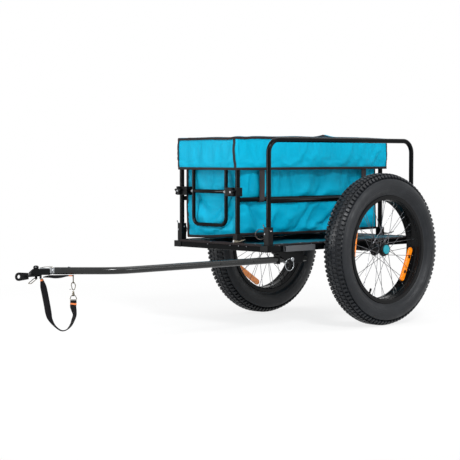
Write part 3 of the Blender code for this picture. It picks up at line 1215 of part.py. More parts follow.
def snap_hook(hitch):
    """The hook that closes the strap on its anchor ring, and the swivel ring that the webbing holds."""
    run, strap_end, _ = STRAP_ROUTE[-1]
    bottom = strap_end + GAP + SWIVEL_RING_WIRE
    top = bottom + SWIVEL_RING_DEPTH
    body_low = top + SWIVEL_RING_WIRE + GAP
    centre = strap_frame(run, 0).y
    axis = empty("snap_hook_axis", (0, centre, body_low), hitch)
    half = HOOK_HALF_WIDTH
    widest, crown = 0.35 * HOOK_LOOP_LENGTH, HOOK_LOOP_LENGTH
    corners = [(0, 0, 0), (0, half, widest), (0, half, crown), (0, -half, crown), (0, -half, widest)]
    path = rounded(corners, 0.8 * half, 3, closed=True)
    loop = swept(path, circle(HOOK_WIRE, WIRE_SIDES), (1, 0, 0), closed=True)
    made = add("snap_hook", loop, "nickel", axis)
    long, wide = HOOK_BODY_LENGTH, HOOK_BODY_RADIUS
    body = [(0, 0), (0, 0.8 * wide), (0.3 * long, wide), (long, 0.7 * wide), (long, 0)]
    reshape(made, "UNION", turned(body, PIN_SIDES, Matrix.Rotation(-math.pi / 2, 4, "Y")))
    wide = SWIVEL_RING_HALF_WIDTH
    narrow = 0.6 * wide
    corners = [
        (0, centre - wide, bottom), (0, centre - narrow, top),
        (0, centre + narrow, top), (0, centre + wide, bottom),
    ]
    path = rounded(corners, 2.2 * SWIVEL_RING_WIRE, 3, closed=True)
    ring_shape = swept(path, circle(SWIVEL_RING_WIRE, WIRE_SIDES), (1, 0, 0), closed=True)
    add("swivel_ring", ring_shape, "nickel", hitch)


def main():
    clear_scene()
    trailer = empty("trailer", (0, AXLE_Y, 0))
    wheel("left", trailer, 1, LEFT_REFLECTOR_TURN)
    wheel("right", trailer, -1, RIGHT_REFLECTOR_TURN)
    base_frame(trailer)
    rail_end_caps(trailer)
    deck(trailer)
    pin_height = RAIL_TOP + HOOP_PIN_HEIGHT
    hoop("left_hoop", trailer, RAIL_AXIS_X, HOOP_FOOT, pin_height)
    hoop("right_hoop", trailer, -RAIL_AXIS_X, HOOP_FOOT, pin_height)
    hoop("middle_hoop", trailer, MIDDLE_HOOP_X, CLAMP_FOOT + SOCKET_FLOOR + GAP, None)
    for side_name, side in (("left", 1), ("right", -1)):
        for end_name, y, end in (("front", HOOP_FRONT_Y, -1), ("rear", HOOP_REAR_Y, 1)):
            label = f"{side_name}_{end_name}"
            x = side * RAIL_AXIS_X
            lean = (-1, end, 0) if side > 0 else (0, 1, 0)
            socket(f"{label}_hoop_socket", trailer, x, y, pin_height)
            hoop_pin(f"{label}_hoop_pin", trailer, x, y, pin_height, lean)
    for end_name, y, end in (("front", HOOP_FRONT_Y, -1), ("rear", HOOP_REAR_Y, 1)):
        base_clamp(f"{end_name}_base_clamp", trailer, MIDDLE_HOOP_X, y, end)
        cam_lever(f"{end_name}_cam_lever", trailer, MIDDLE_HOOP_X, y, end)
    front_guard(trailer)
    guard_clamp("left_guard_clamp", trailer, 1, LEFT_CLAMP_ARM)
    guard_clamp("right_guard_clamp", trailer, -1, RIGHT_CLAMP_ARM)
    star_knob("left_star_knob", trailer, 1)
    star_knob("right_star_knob", trailer, -1)
    bag(trailer)
    bag_cuff(trailer)
    for name, y in zip(("front_side_strap", "rear_side_strap"), SIDE_STRAP_PLACES):
        side_strap(name, trailer, y)
    tow_bar(trailer)
    tow_receiver(trailer)
    tow_pin(trailer)
    side_sleeve(trailer)
    hitch = empty("hitch", TOW_END, trailer)
    hitch.rotation_euler = (0, 0, -TOW_TOE_IN)
    hitch_collar(hitch)
    hitch_coupler(hitch)
    hitch_latch(hitch)
    pivot = empty("hitch_pivot", PIVOT, trailer)
    axle_plate(pivot)
    hitch_pin(pivot)
    pin_bail(pivot)
    safety_strap(hitch)
    strap_anchor(hitch)
    snap_hook(hitch)


main()
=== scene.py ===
"""Beach bike trailer: the finished look of every piece, built round the packed frame.

Metres, +Z up. Pieces are modelled in the trailer's own frame, whose Y = 0 is the wheel axle, and moved
to the packed frame as they are finished. +X is the trailer's left and it travels towards -Y.
"""

import json
import math

import bmesh
import bpy
import numpy as np
from mathutils import Matrix, Vector, noise


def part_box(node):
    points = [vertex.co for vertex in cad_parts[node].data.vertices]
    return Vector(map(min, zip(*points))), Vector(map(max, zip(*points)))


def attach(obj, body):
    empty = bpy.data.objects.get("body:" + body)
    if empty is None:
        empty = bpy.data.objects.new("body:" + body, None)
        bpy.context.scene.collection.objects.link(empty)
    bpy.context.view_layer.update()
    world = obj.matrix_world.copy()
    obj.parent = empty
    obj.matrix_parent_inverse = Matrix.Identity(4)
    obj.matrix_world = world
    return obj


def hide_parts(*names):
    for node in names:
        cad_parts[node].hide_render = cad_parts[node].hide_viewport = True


bl_info = {
    "name": "Beach bike trailer",
    "version": (1, 0, 0),
    "blender": (4, 5, 0),
    "location": "3D View > Sidebar > Trailer",
    "description": "Builds the looks of a beach bike trailer round its packed frame",
    "category": "Object",
}

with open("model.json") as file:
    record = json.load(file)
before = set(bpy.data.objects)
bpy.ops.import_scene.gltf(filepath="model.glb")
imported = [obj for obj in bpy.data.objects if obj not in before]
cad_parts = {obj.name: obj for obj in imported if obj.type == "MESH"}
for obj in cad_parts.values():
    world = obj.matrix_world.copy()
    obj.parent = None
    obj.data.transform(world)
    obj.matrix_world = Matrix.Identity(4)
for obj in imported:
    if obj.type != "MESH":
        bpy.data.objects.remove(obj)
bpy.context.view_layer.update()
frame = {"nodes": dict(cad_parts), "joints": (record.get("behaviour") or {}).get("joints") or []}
JOINTS = {joint["name"]: joint for joint in frame["joints"]}
AXLE = Vector(JOINTS["left_wheel_spin"]["pos_m"])
HOME = Matrix.Translation((0, AXLE.y, 0))
SIDES = (("left", 1), ("right", -1))
ENDS = (("front", -1), ("rear", 1))


def node_box(name):
    """The lowest and highest corners of a packed node, in the trailer's own frame."""
    low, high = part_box(name)
    shift = Vector((0, AXLE.y, 0))
    return low - shift, high - shift


def joint_place(name):
    return Vector(JOINTS[name]["pos_m"]) - Vector((0, AXLE.y, 0))


# Sizes read from the frame
HOOP_LOW, HOOP_HIGH = node_box("left_hoop")
TUBE = (HOOP_HIGH.x - HOOP_LOW.x) / 2
RAIL_X = (HOOP_HIGH.x + HOOP_LOW.x) / 2
MIDDLE_LOW, MIDDLE_HIGH = node_box("middle_hoop")
MIDDLE_X = (MIDDLE_LOW.x + MIDDLE_HIGH.x) / 2
HOOP_FRONT, HOOP_REAR = HOOP_LOW.y + TUBE, HOOP_HIGH.y - TUBE
HOOP_TOP = HOOP_HIGH.z - TUBE
FRAME_LOW, FRAME_HIGH = node_box("base_frame")
RAIL_OUT = node_box("left_rail_end_cap")[1].x
DECK_LOW, DECK_HIGH = node_box("deck_sheet")
BAG_LOW, BAG_HIGH = node_box("bag")
CUFF_LOW, CUFF_HIGH = node_box("bag_cuff")
WHEEL_RADIUS = AXLE.z

# Sizes repeated from the solids
CROSS_RAIL_DEPTH, MIDDLE_RAIL_Y, RAIL_UNDER = 0.040, -0.250, 0.311
AXLE_TUBE = 0.011
HOOP_BEND, HOOP_RAIL, HOOP_RAIL_Z = 0.050, 0.0090, 0.505
BAG_CORNER, CUFF_INSET = 0.008, 0.0034
CUFF_CORNERS = (0.0080, 0.0120, 0.0180, 0.0065)
CLOTH_FRAMES, SCALLOP = 20, 0.095
SIDE_STRAPS = (("front_side_strap", -0.424), ("rear_side_strap", 0.170))
FRONT_RIVET_XS, SIDE_RIVET_YS = (-0.066, 0.062, 0.110, 0.154), (-0.508, -0.333, -0.150)
PIN_UNDER_SOCKET_TOP, LEVER_BOLT_SHARE = 0.0143, 0.88
GUARD_TUBE, GUARD_BEND, GUARD_BAR, GUARD_BAR_Z = 0.0068, 0.030, 0.0077, 0.5355
GUARD_XS = (0.019, -0.170)
TOW_TUBE, TOW_BEND, TOW_BEND_Y, TOW_TOE_IN, TOW_FRONT_RUN = 0.0125, 0.150, -1.274, math.radians(43), 0.216
TOW_REAR_Y, TOW_PIN_Y, TOW_BOLT_YS, TOW_RIVET_RUN = -0.353, -0.442, (-0.806, -0.640), 0.1680
COLLAR, COUPLER_ABOVE = 0.016, 0.0065
RIM_EDGE, RIM_SEAT, RIM_WALL, RIM_INNER, RIM_HALF = 0.2155, 0.2035, 0.003, 0.197, 0.040
SPOKE_LEAD, SPOKE_STAGGER, SPOKE_RIM_OFFSET, SPOKE_CIRCLE = math.radians(60), 0.0016, 0.008, 0.0245
OUTER_FLANGE, FLANGE_SPACING, HUB_END, HUB_INNER = 0.0115, 0.0475, 0.0255, -0.051
REFLECTOR_TURNS = {"left": math.radians(-24), "right": math.radians(237)}
SECOND_REFLECTOR_TURN = math.radians(196)
REFLECTOR_RADIUS, VALVE_FROM_REFLECTOR = 0.166, math.radians(-88)
TYRE_MIDDLE, TYRE_HALF_HEIGHT, TYRE_HALF_WIDTH = 0.2553, 0.05075, 0.053
# Distance along the front run of the bar, height over its axis, twist in degrees
STRAP_ROUTE = (
    (0.2628, -0.0270, 10), (0.2590, -0.0430, 40), (0.2551, -0.0603, 74), (0.2482, -0.0953, 85),
    (0.2431, -0.1234, 84), (0.2396, -0.1443, 72), (0.2341, -0.1652, 40), (0.2208, -0.1865, 8),
    (0.2040, -0.2019, 0), (0.1899, -0.2067, 0), (0.1759, -0.2019, 4), (0.1622, -0.1865, 22),
    (0.1550, -0.1697, 34), (0.1495, -0.1529, 42), (0.1515, -0.1375, 62), (0.1543, -0.1234, 82),
    (0.1536, -0.1110, 90), (0.1536, -0.1018, 90),
)
ANCHOR_ROUTE = (
    (0.2560, -0.0215), (0.2350, -0.0196), (0.2150, -0.0205),
    (0.1950, -0.0195), (0.1750, -0.0170), (0.1522, -0.0168),
)
STRAP_WIDTH, STRAP_THICKNESS = 0.022, 0.0022
# Rows of knobs: degrees from the crown, width across and along, share of a pitch ahead, height added
TREAD_ROWS = (
    (0, 0.0145, 0.0130, 0.0, 0.0), (22.5, 0.0135, 0.0130, 0.5, 0.0004), (45, 0.0165, 0.0118, 0.0, 0.0030),
)
RECEIVER_LOW, RECEIVER_HIGH = node_box("tow_bar_receiver")
TOW_X, TOW_Z = (RECEIVER_LOW.x + RECEIVER_HIGH.x) / 2, 0.281
TOW_DIRECTION = Vector((-math.sin(TOW_TOE_IN), -math.cos(TOW_TOE_IN), 0))
TOW_CORNER = Vector((TOW_X, TOW_BEND_Y, TOW_Z))
TOW_END = TOW_CORNER + TOW_FRONT_RUN * TOW_DIRECTION
HITCH = Matrix.Translation(TOW_END) @ Matrix.Rotation(-TOW_TOE_IN, 4, "Z")


def colour(name, about, default):
    return bpy.props.FloatVectorProperty(
        name=name, description=about, subtype="COLOR", size=3, min=0, max=1, default=default
    )


def length(name, about, default):
    return bpy.props.FloatProperty(
        name=name, description=about, unit="LENGTH", min=0, default=default, precision=4
    )


def power(name, about, default):
    return bpy.props.FloatProperty(name=name, description=about, min=0, default=default)


class ClothLooks(bpy.types.PropertyGroup):
    """Colours and thread of the bag, the deck and the webbing."""

    bag: colour("Bag", "Coated cloth of the bag and its cuff", (0.0, 0.400, 0.620))
    deck: colour("Deck", "Coated cloth of the deck", (0.008, 0.135, 0.190))
    binding: colour("Binding", "Tape sewn over the cloth's edges", (0.026, 0.020, 0.021))
    grey_web: colour("Side straps", "Webbing of the side straps", (0.052, 0.047, 0.050))
    black_web: colour("Safety strap", "Webbing of the safety strap", (0.0075, 0.0070, 0.0085))
    thread: colour("Bartack thread", "Thread of the safety strap's bartacks", (0.62, 0.16, 0.035))
    weave: length("Weave pitch", "Distance between two threads of the cloth", 0.0011)
    binding_width: length("Binding width", "Width of the edge tape", 0.0100)
    stitch: length("Stitch spacing", "Distance between two stitches", 0.0042)


class MetalLooks(bpy.types.PropertyGroup):
    """Colours of the painted, plated and moulded pieces."""

    paint: colour("Frame paint", "Powder coat of the frame and the hoops", (0.0016, 0.0019, 0.0023))
    tow_paint: colour("Tow bar", "Paint of the tow bar", (0.0150, 0.0158, 0.0158))
    plastic: colour("Black plastic", "Moulded clamps, knobs and hitch", (0.0024, 0.0027, 0.0031))
    grey: colour("Grey plastic", "Side sleeve", (0.046, 0.0485, 0.0535))
    zinc: colour("Zinc", "Plated pins, bolts, rivets and spoke nipples", (0.33, 0.345, 0.36))
    button: colour("Axle button", "Moulded button in each hub", (0.003, 0.235, 0.300))
    amber: colour("Reflectors", "Amber spoke reflectors", (1.0, 0.275, 0.004))


class WheelSizes(bpy.types.PropertyGroup):
    """Sizes of the tread and the spokes."""

    tread_pitches: bpy.props.IntProperty(
        name="Tread pitches", description="How often the tread pattern repeats", min=12, default=96
    )
    knob_height: length("Knob height", "Height of a tread knob on the crown", 0.0072)
    spoke_radius: length("Spoke radius", "Half the spoke's thickness", 0.0010)
    rubber: colour("Rubber", "Colour of the tyres", (0.0085, 0.0100, 0.0125))
    rim: colour("Rim", "Colour of the anodised rims and hubs", (0.0040, 0.0042, 0.0047))


class StageLooks(bpy.types.PropertyGroup):
    """Floor and light."""

    floor: colour("Floor", "Colour of the floor", (0.96, 0.96, 0.96))
    key: power("Key light", "Power of the key light", 48)
    fill: power("Fill light", "Power of the fill light", 165)


# Node trees


def tree_node(tree, kind, inputs=None, **settings):
    """A node with its settings made and its inputs linked or set."""
    made = tree.nodes.new(kind)
    for key, value in settings.items():
        setattr(made, key, value)
    for key, value in (inputs or {}).items():
        if isinstance(value, bpy.types.NodeSocket):
            tree.links.new(value, made.inputs[key])
        else:
            made.inputs[key].default_value = value
    return made


def maths(tree, operation, a, b=0.0):
    return tree_node(tree, "ShaderNodeMath", {0: a, 1: b}, operation=operation).outputs[0]


def new_finish(name, tint, rough, metal=0.0, **sockets):
    """A material with its tree, its shader and its Object coordinates."""
    material = bpy.data.materials.new(name)
    material.use_nodes = True
    material.diffuse_color = (*tint, 1)
    tree = material.node_tree
    shader = tree.nodes["Principled BSDF"]
    shader.inputs["Base Color"].default_value = (*tint, 1)
    shader.inputs["Roughness"].default_value = rough
    shader.inputs["Metallic"].default_value = metal
    for key, value in sockets.items():
        shader.inputs[key.replace("_", " ").title().replace("Ior", "IOR")].default_value = value
    place = tree_node(tree, "ShaderNodeTexCoord").outputs["Object"]
    return material, tree, shader, place


def blotch(tree, place, scale, detail=3.0, stretch=(1, 1, 1)):
    """Noise from 0 to 1 on a position."""
    spread = tree_node(tree, "ShaderNodeMapping", {"Vector": place, "Scale": stretch}).outputs[0]
    inputs = {"Vector": spread, "Scale": scale, "Detail": detail}
    return tree_node(tree, "ShaderNodeTexNoise", inputs).outputs[0]


def ranged(tree, value, low, high, start=0.3, end=0.7):
    inputs = {"Value": value, "From Min": start, "From Max": end, "To Min": low, "To Max": high}
    return tree_node(tree, "ShaderNodeMapRange", inputs).outputs[0]


def tinted(tree, shader, factor, other):
    """Mixes the shader's base colour with another by a factor."""
    base = tuple(shader.inputs["Base Color"].default_value)
    mix = tree_node(tree, "ShaderNodeMix", {"Factor": factor}, data_type="RGBA")
    mix.inputs[6].default_value = base
    mix.inputs[7].default_value = (*other, 1)
    tree.links.new(mix.outputs[2], shader.inputs["Base Color"])


def bumped(tree, shader, height, distance, strength=1.0):
    """Adds a bump to the shader, over any bump that it has."""
    bump = tree_node(tree, "ShaderNodeBump", {"Height": height, "Distance": distance, "Strength": strength})
    socket = shader.inputs["Normal"]
    if socket.links:
        tree.links.new(socket.links[0].from_socket, bump.inputs["Normal"])
    tree.links.new(bump.outputs[0], socket)


def moulded(name, tint, rough=0.45, grain=0.00012, shine=0.5, metal=0.0):
    """Plastic or paint with a fine skin, slightly uneven in gloss and colour."""
    material, tree, shader, place = new_finish(name, tint, rough, metal, specular_ior_level=shine)
    cloud = blotch(tree, place, 26)
    tree.links.new(ranged(tree, cloud, rough * 0.82, min(1, rough * 1.25)), shader.inputs["Roughness"])
    paler = [min(1, c * 1.7 + 0.002) for c in tint]
    tinted(tree, shader, ranged(tree, blotch(tree, place, 9), 0, 0.35), paler)
    bumped(tree, shader, blotch(tree, place, 900, 2), grain, 0.5)
    return material


def plated(name, tint, rough, streaks=(1, 1, 1)):
    """Bare or plated metal with fine turning or drawing marks."""
    material, tree, shader, place = new_finish(name, tint, rough, 1.0)
    marks = blotch(tree, place, 420, 2, streaks)
    tree.links.new(ranged(tree, marks, rough * 0.75, rough * 1.35), shader.inputs["Roughness"])
    tinted(tree, shader, ranged(tree, blotch(tree, place, 60), 0, 0.5), [c * 0.7 for c in tint])
    bumped(tree, shader, marks, 0.00005, 0.35)
    return material


def woven(name, tint, pitch, rough=0.6, depth=0.00016, creases=0.0, ribs=False):
    """Cloth or webbing whose threads follow the piece's own weave map, in metres."""
    material, tree, shader, place = new_finish(name, tint, rough, specular_ior_level=0.07)
    weave = tree_node(tree, "ShaderNodeUVMap", uv_map="weave").outputs[0]
    across = tree_node(tree, "ShaderNodeSeparateXYZ", {0: weave})
    turn = 2 * math.pi / pitch
    warp = maths(tree, "SINE", maths(tree, "MULTIPLY", across.outputs[0], turn))
    weft = maths(tree, "SINE", maths(tree, "MULTIPLY", across.outputs[1], turn))
    threads = maths(tree, "ABSOLUTE", warp) if ribs else maths(tree, "MULTIPLY", warp, weft)
    if ribs:
        threads = maths(tree, "ADD", threads, maths(tree, "MULTIPLY", weft, 0.25))
    tinted(tree, shader, ranged(tree, threads, 0, 0.30, -1, 1), [c * 0.55 for c in tint])
    cloud = blotch(tree, place, 14)
    tree.links.new(ranged(tree, cloud, rough * 0.85, min(1, rough * 1.2)), shader.inputs["Roughness"])
    if creases:
        bumped(tree, shader, blotch(tree, place, 16, 4, (1, 1, 0.6)), creases, 0.6)
    bumped(tree, shader, threads, depth, 0.6)
    return material


def rubber(name, tint):
    material, tree, shader, place = new_finish(name, tint, 0.42, specular_ior_level=0.23)
    dust = ranged(tree, blotch(tree, place, 22, 5), 0, 0.45, 0.45, 0.8)
    tinted(tree, shader, dust, [c * 1.9 + 0.004 for c in tint])
    tree.links.new(ranged(tree, blotch(tree, place, 40), 0.32, 0.50), shader.inputs["Roughness"])
    bumped(tree, shader, blotch(tree, place, 650, 3), 0.00025, 0.6)
    return material


def prism_amber(name, tint):
    """Clear amber with rows of small prisms behind its face."""
    material, tree, shader, place = new_finish(name, tint, 0.16, coat_weight=0.6, coat_roughness=0.08)
    # Painted light: emission makes the amber glow, standing in for the light that a reflector throws back
    shader.inputs["Emission Color"].default_value = (*tint, 1)
    shader.inputs["Emission Strength"].default_value = 0.22
    inputs = {"Vector": place, "Scale": 330}
    cells = tree_node(tree, "ShaderNodeTexVoronoi", inputs, distance="CHEBYCHEV").outputs[0]
    tinted(tree, shader, ranged(tree, cells, 0, 0.55, 0.1, 0.6), [tint[0] * 0.62, tint[1] * 0.45, 0.0])
    bumped(tree, shader, cells, 0.0006, 0.7)
    return material


FINISHES = {}


def finish(name):
    """The named finish, made once from the scene's settings."""
    if name not in FINISHES:
        scene = bpy.context.scene
        cloth, metal, wheel = scene.trailer_cloth, scene.trailer_metal, scene.trailer_wheels
        makers = {
            "paint": lambda: moulded("frame_powder_coat", metal.paint, 0.15, 0.00008, 0.07),
            "tow_paint": lambda: moulded("tow_bar_metallic", metal.tow_paint, 0.24, 0.0001, metal=0.5),
            "plastic": lambda: moulded("black_moulded_nylon", metal.plastic, 0.36, 0.0003, 0.1),
            "grey": lambda: moulded("grey_moulded_plastic", metal.grey, 0.5, 0.0003),
            "button": lambda: moulded("turquoise_moulded_plastic", metal.button, 0.3, 0.0001, 0.3),
            "hub": lambda: moulded("black_anodised_hub", wheel.rim, 0.34, 0.00006, 0.15),
            "rim": lambda: moulded("black_anodised_rim", wheel.rim, 0.2, 0.00005, 0.12),
            "lining": lambda: moulded("inner_tube_rubber", (0.010, 0.010, 0.011), 0.6),
            "zinc": lambda: plated("zinc_plate", metal.zinc, 0.26),
            "steel": lambda: plated("turned_steel", (0.42, 0.42, 0.43), 0.28),
            "spoke": lambda: plated("dark_steel_spoke", (0.13, 0.13, 0.14), 0.30),
            # Nickel kept far darker than bright plate: painted dark reflection of the surroundings
            "nickel": lambda: plated("nickel_plate", (0.150, 0.135, 0.105), 0.26),
            "cable": lambda: moulded("brown_coated_cable", (0.030, 0.022, 0.019), 0.35),
            "rubber": lambda: rubber("tyre_rubber", wheel.rubber),
            "amber": lambda: prism_amber("amber_prism_plastic", metal.amber),
            "bag": lambda: woven("turquoise_coated_cloth", cloth.bag, cloth.weave, 0.52, creases=0.004),
            "deck": lambda: woven("dark_teal_coated_cloth", cloth.deck, cloth.weave, 0.5, creases=0.003),
            "binding": lambda: woven("binding_tape", cloth.binding, 0.0009, 0.6, ribs=True),
            "grey_web": lambda: woven("grey_webbing", cloth.grey_web, 0.0018, 0.65, 0.0004, ribs=True),
            "black_web": lambda: woven("black_webbing", cloth.black_web, 0.0018, 0.65, 0.0004, ribs=True),
            "thread": lambda: moulded("orange_thread", cloth.thread, 0.6, 0.0004),
            "dark_thread": lambda: moulded("dark_thread", (0.02, 0.02, 0.022), 0.6, 0.0003),
        }
        FINISHES[name] = makers[name]()
    return FINISHES[name]


# Shapes


def circle(radius, sides, squash=1.0):
    turns = [2 * math.pi * k / sides for k in range(sides)]
    return [(radius * math.cos(a), squash * radius * math.sin(a)) for a in turns]


def arc_points(radius, degrees):
    return [(radius * math.cos(math.radians(d)), radius * math.sin(math.radians(d))) for d in degrees]


def bridge(shape, first, second, closed=True):
    """Faces between two rings of vertices, either of which may be one vertex at a pole."""
    count = max(len(first), len(second))
    for k in range(count if closed else count - 1):
        j = (k + 1) % count
        corners = [first[k % len(first)], first[j % len(first)]]
        corners += [second[j % len(second)], second[k % len(second)]]
        kept = [v for i, v in enumerate(corners) if v not in corners[:i]]
        if len(kept) > 2:
            shape.faces.new(kept)


def box(low, high):
    shape = bmesh.new()
    size = [abs(b - a) for a, b in zip(low, high)]
    middle = [(a + b) / 2 for a, b in zip(low, high)]
    bmesh.ops.create_cube(shape, size=1, matrix=Matrix.Translation(middle) @ Matrix.Diagonal((*size, 1)))
    return shape


def extruded(outline, start, end, turn=Matrix.Identity(4)):
    """A flat outline in X and Y, given height from start to end along Z and then turned."""
    shape = bmesh.new()
    low = [shape.verts.new((x, y, start)) for x, y in outline]
    high = [shape.verts.new((x, y, end)) for x, y in outline]
    shape.faces.new(low)
    shape.faces.new(high)
    bridge(shape, low, high)
    bmesh.ops.transform(shape, matrix=turn, verts=shape.verts)
    return shape


def turned(profile, steps=64, turn=Matrix.Identity(4)):
    """A turned piece round X, from points of place and radius: a ring, or a shaft ending in radius 0."""
    shape = bmesh.new()
    rings = []
    for x, radius in profile:
        points = circle(radius, steps) if radius else [(0, 0)]
        rings.append([shape.verts.new((x, *p)) for p in points])
    for first, second in zip(rings, rings[1:]):
        bridge(shape, first, second)
    if profile[0][1] > 0:
        bridge(shape, rings[-1], rings[0])
    bmesh.ops.transform(shape, matrix=turn, verts=shape.verts)
    return shape


def rod(start, end, radius, sides=24, chamfer=0.0):
    """A round bar between two points, with its rims broken."""
    start, end = Vector(start), Vector(end)
    run = (end - start).length
    turn = Matrix.Translation(start) @ (end - start).to_track_quat("X", "Z").to_matrix().to_4x4()
    c = chamfer or 0.08 * radius
    profile = [(0, 0), (0, radius - c), (c, radius), (run - c, radius), (run, radius - c), (run, 0)]
    return turned(profile, sides, turn)


def rounded(corners, radius, steps=12, closed=False):
    """A path through corners, each turned into an arc of the radius."""
    corners = [Vector(c) for c in corners]
    path = []
    for i, corner in enumerate(corners):
        if not closed and i in (0, len(corners) - 1):
            path.append(corner)
            continue
        back = (corners[i - 1] - corner).normalized()
        on = (corners[(i + 1) % len(corners)] - corner).normalized()
        half = back.angle(on) / 2
        centre = corner + (back + on).normalized() * radius / math.sin(half)
        arm = corner + back * radius / math.tan(half) - centre
        spin = back.cross(on).normalized()
        sweep = math.pi - 2 * half
        path += [centre + Matrix.Rotation(-sweep * k / steps, 3, spin) @ arm for k in range(steps + 1)]
    return path


def smooth_curve(points, steps):
    """A smooth curve through the points, with the given steps between two of them."""
    points = [Vector(p) for p in points]
    ends = [2 * points[0] - points[1], *points, 2 * points[-1] - points[-2]]
    out = []
    for a, b, c, d in zip(ends, ends[1:], ends[2:], ends[3:]):
        for k in range(steps):
            t = k / steps
            bend, twist = 2 * a - 5 * b + 4 * c - d, 3 * b - a - 3 * c + d
            out.append(0.5 * (2 * b + (c - a) * t + bend * t**2 + twist * t**3))
    return [*out, points[-1]]


def swept(path, section, normals, closed=False, capped=True):
    """A section carried along a path: its first measure is along each point's normal, its second across."""
    shape = bmesh.new()
    layer = shape.loops.layers.uv.new("weave")
    path = [Vector(p) for p in path]
    if isinstance(normals[0], (int, float)):
        normals = [normals] * len(path)
    rings, travelled, places = [], 0.0, []
    for i, point in enumerate(path):
        before = path[i - 1] if closed or i else point
        after = path[(i + 1) % len(path)] if closed or i < len(path) - 1 else point
        along = (after - before).normalized()
        normal = Vector(normals[i])
        normal = (normal - along * normal.dot(along)).normalized()
        across = along.cross(normal)
        rings.append([shape.verts.new(point + u * normal + v * across) for u, v in section])
        travelled += (point - path[i - 1]).length if i else 0.0
        places.append(travelled)
    lap = [0.0]
    for (a, b), (c, d) in zip(section, [*section[1:], section[0]]):
        lap.append(lap[-1] + math.hypot(c - a, d - b))
    pairs = list(zip(range(len(rings)), range(1, len(rings))))
    for i, j in [*pairs, (len(rings) - 1, 0)] if closed else pairs:
        far = places[j] if j else places[i] + (path[0] - path[i]).length
        for k in range(len(section)):
            m = (k + 1) % len(section)
            face = shape.faces.new((rings[i][k], rings[i][m], rings[j][m], rings[j][k]))
            marks = ((lap[k], places[i]), (lap[k + 1], places[i]), (lap[k + 1], far), (lap[k], far))
            for corner, mark in zip(face.loops, marks):
                corner[layer].uv = mark
    if not closed and capped:
        shape.faces.new(rings[0])
        shape.faces.new(rings[-1])
    return shape


def ring(centre, radius, wire, normal, steps=48, sides=12):
    """A wire ring in the plane across normal."""
    turn = Vector(normal).to_track_quat("X", "Z").to_matrix().to_4x4()
    path = [Vector(centre) + turn @ Vector((0, *p)) for p in circle(radius, steps)]
    return swept(path, circle(wire, sides), tuple(turn @ Vector((1, 0, 0))), closed=True)


def merged(*shapes):
    """Several shapes in one, each a closed body of its own."""
    whole = shapes[0]
    for shape in shapes[1:]:
        mesh = bpy.data.meshes.new("part")
        shape.to_mesh(mesh)
        shape.free()
        whole.from_mesh(mesh)
        bpy.data.meshes.remove(mesh)
    return whole


def solid_copy(node, angle=0.6):
    """A merged copy of a packed node's mesh, its flat facets joined, in the trailer's own frame."""
    shape = bmesh.new()
    shape.from_mesh(frame["nodes"][node].data)
    bmesh.ops.remove_doubles(shape, verts=shape.verts, dist=1e-5)
    bmesh.ops.dissolve_limit(shape, angle_limit=math.radians(angle), verts=shape.verts, edges=shape.edges)
    bmesh.ops.transform(shape, matrix=HOME.inverted(), verts=shape.verts)
    return shape


def placed(name, data):
    """A new object in the scene from a bmesh, a mesh, a lamp or a camera."""
    if isinstance(data, bmesh.types.BMesh):
        mesh = bpy.data.meshes.new(name)
        data.to_mesh(mesh)
        data.free()
        data = mesh
    made = bpy.data.objects.new(name, data)
    bpy.context.scene.collection.objects.link(made)
    return made


def piece(name, shape, look, body="trailer", stands_for=(), turn=None, bevel=0.0, steps=2, angle=38):
    """A finished object from a bmesh, riding on its body and standing for the nodes that it replaces."""
    if turn is not None:
        bmesh.ops.transform(shape, matrix=turn, verts=shape.verts)
    bmesh.ops.remove_doubles(shape, verts=shape.verts, dist=1e-7)
    bmesh.ops.recalc_face_normals(shape, faces=shape.faces)
    if bevel:
        sharp = [e for e in shape.edges if e.is_manifold and e.calc_face_angle() > math.radians(52)]
        bmesh.ops.bevel(
            shape, geom=sharp, offset=bevel, segments=steps, profile=0.5, affect="EDGES", clamp_overlap=True
        )
    bmesh.ops.transform(shape, matrix=HOME, verts=shape.verts)
    return dressed(placed(name, shape), look, body, stands_for, angle, bevel > 0)


def dressed(made, look, body, stands_for=(), angle=38, weighted=False):
    """Gives an object its finish and its shading, and ties it to its body and nodes."""
    mesh = made.data
    mesh.materials.clear()
    mesh.materials.append(finish(look))
    mesh.shade_smooth()
    mesh.set_sharp_from_angle(angle=math.radians(angle))
    if weighted:
        made.modifiers.new("weighted", "WEIGHTED_NORMAL").keep_sharp = True
    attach(made, body)
    if stands_for:
        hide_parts(*stands_for)
    return made


# Geometry node trees for what repeats


def copies_tree(name, labels, build):
    """A node group that copies an item to points and ends in real meshes with their material."""
    if name in bpy.data.node_groups:
        return bpy.data.node_groups[name]
    tree = bpy.data.node_groups.new(name, "GeometryNodeTree")
    tree.interface.new_socket("Geometry", in_out="INPUT", socket_type="NodeSocketGeometry")
    for label, kind in (("Item", "NodeSocketObject"), *labels, ("Finish", "NodeSocketMaterial")):
        tree.interface.new_socket(label, in_out="INPUT", socket_type=kind)
    tree.interface.new_socket("Geometry", in_out="OUTPUT", socket_type="NodeSocketGeometry")
    start = tree.nodes.new("NodeGroupInput")
    item = tree_node(tree, "GeometryNodeObjectInfo", {"Object": start.outputs["Item"]})
    points, turn = build(tree, start)
    inputs = {"Points": points, "Instance": item.outputs["Geometry"], "Rotation": turn}
    copies = tree_node(tree, "GeometryNodeInstanceOnPoints", inputs)
    real = tree_node(tree, "GeometryNodeRealizeInstances", {0: copies.outputs[0]})
    inputs = {"Geometry": real.outputs[0], "Material": start.outputs["Finish"]}
    painted = tree_node(tree, "GeometryNodeSetMaterial", inputs)
    end = tree.nodes.new("NodeGroupOutput")
    tree.links.new(painted.outputs[0], end.inputs[0])
    return tree


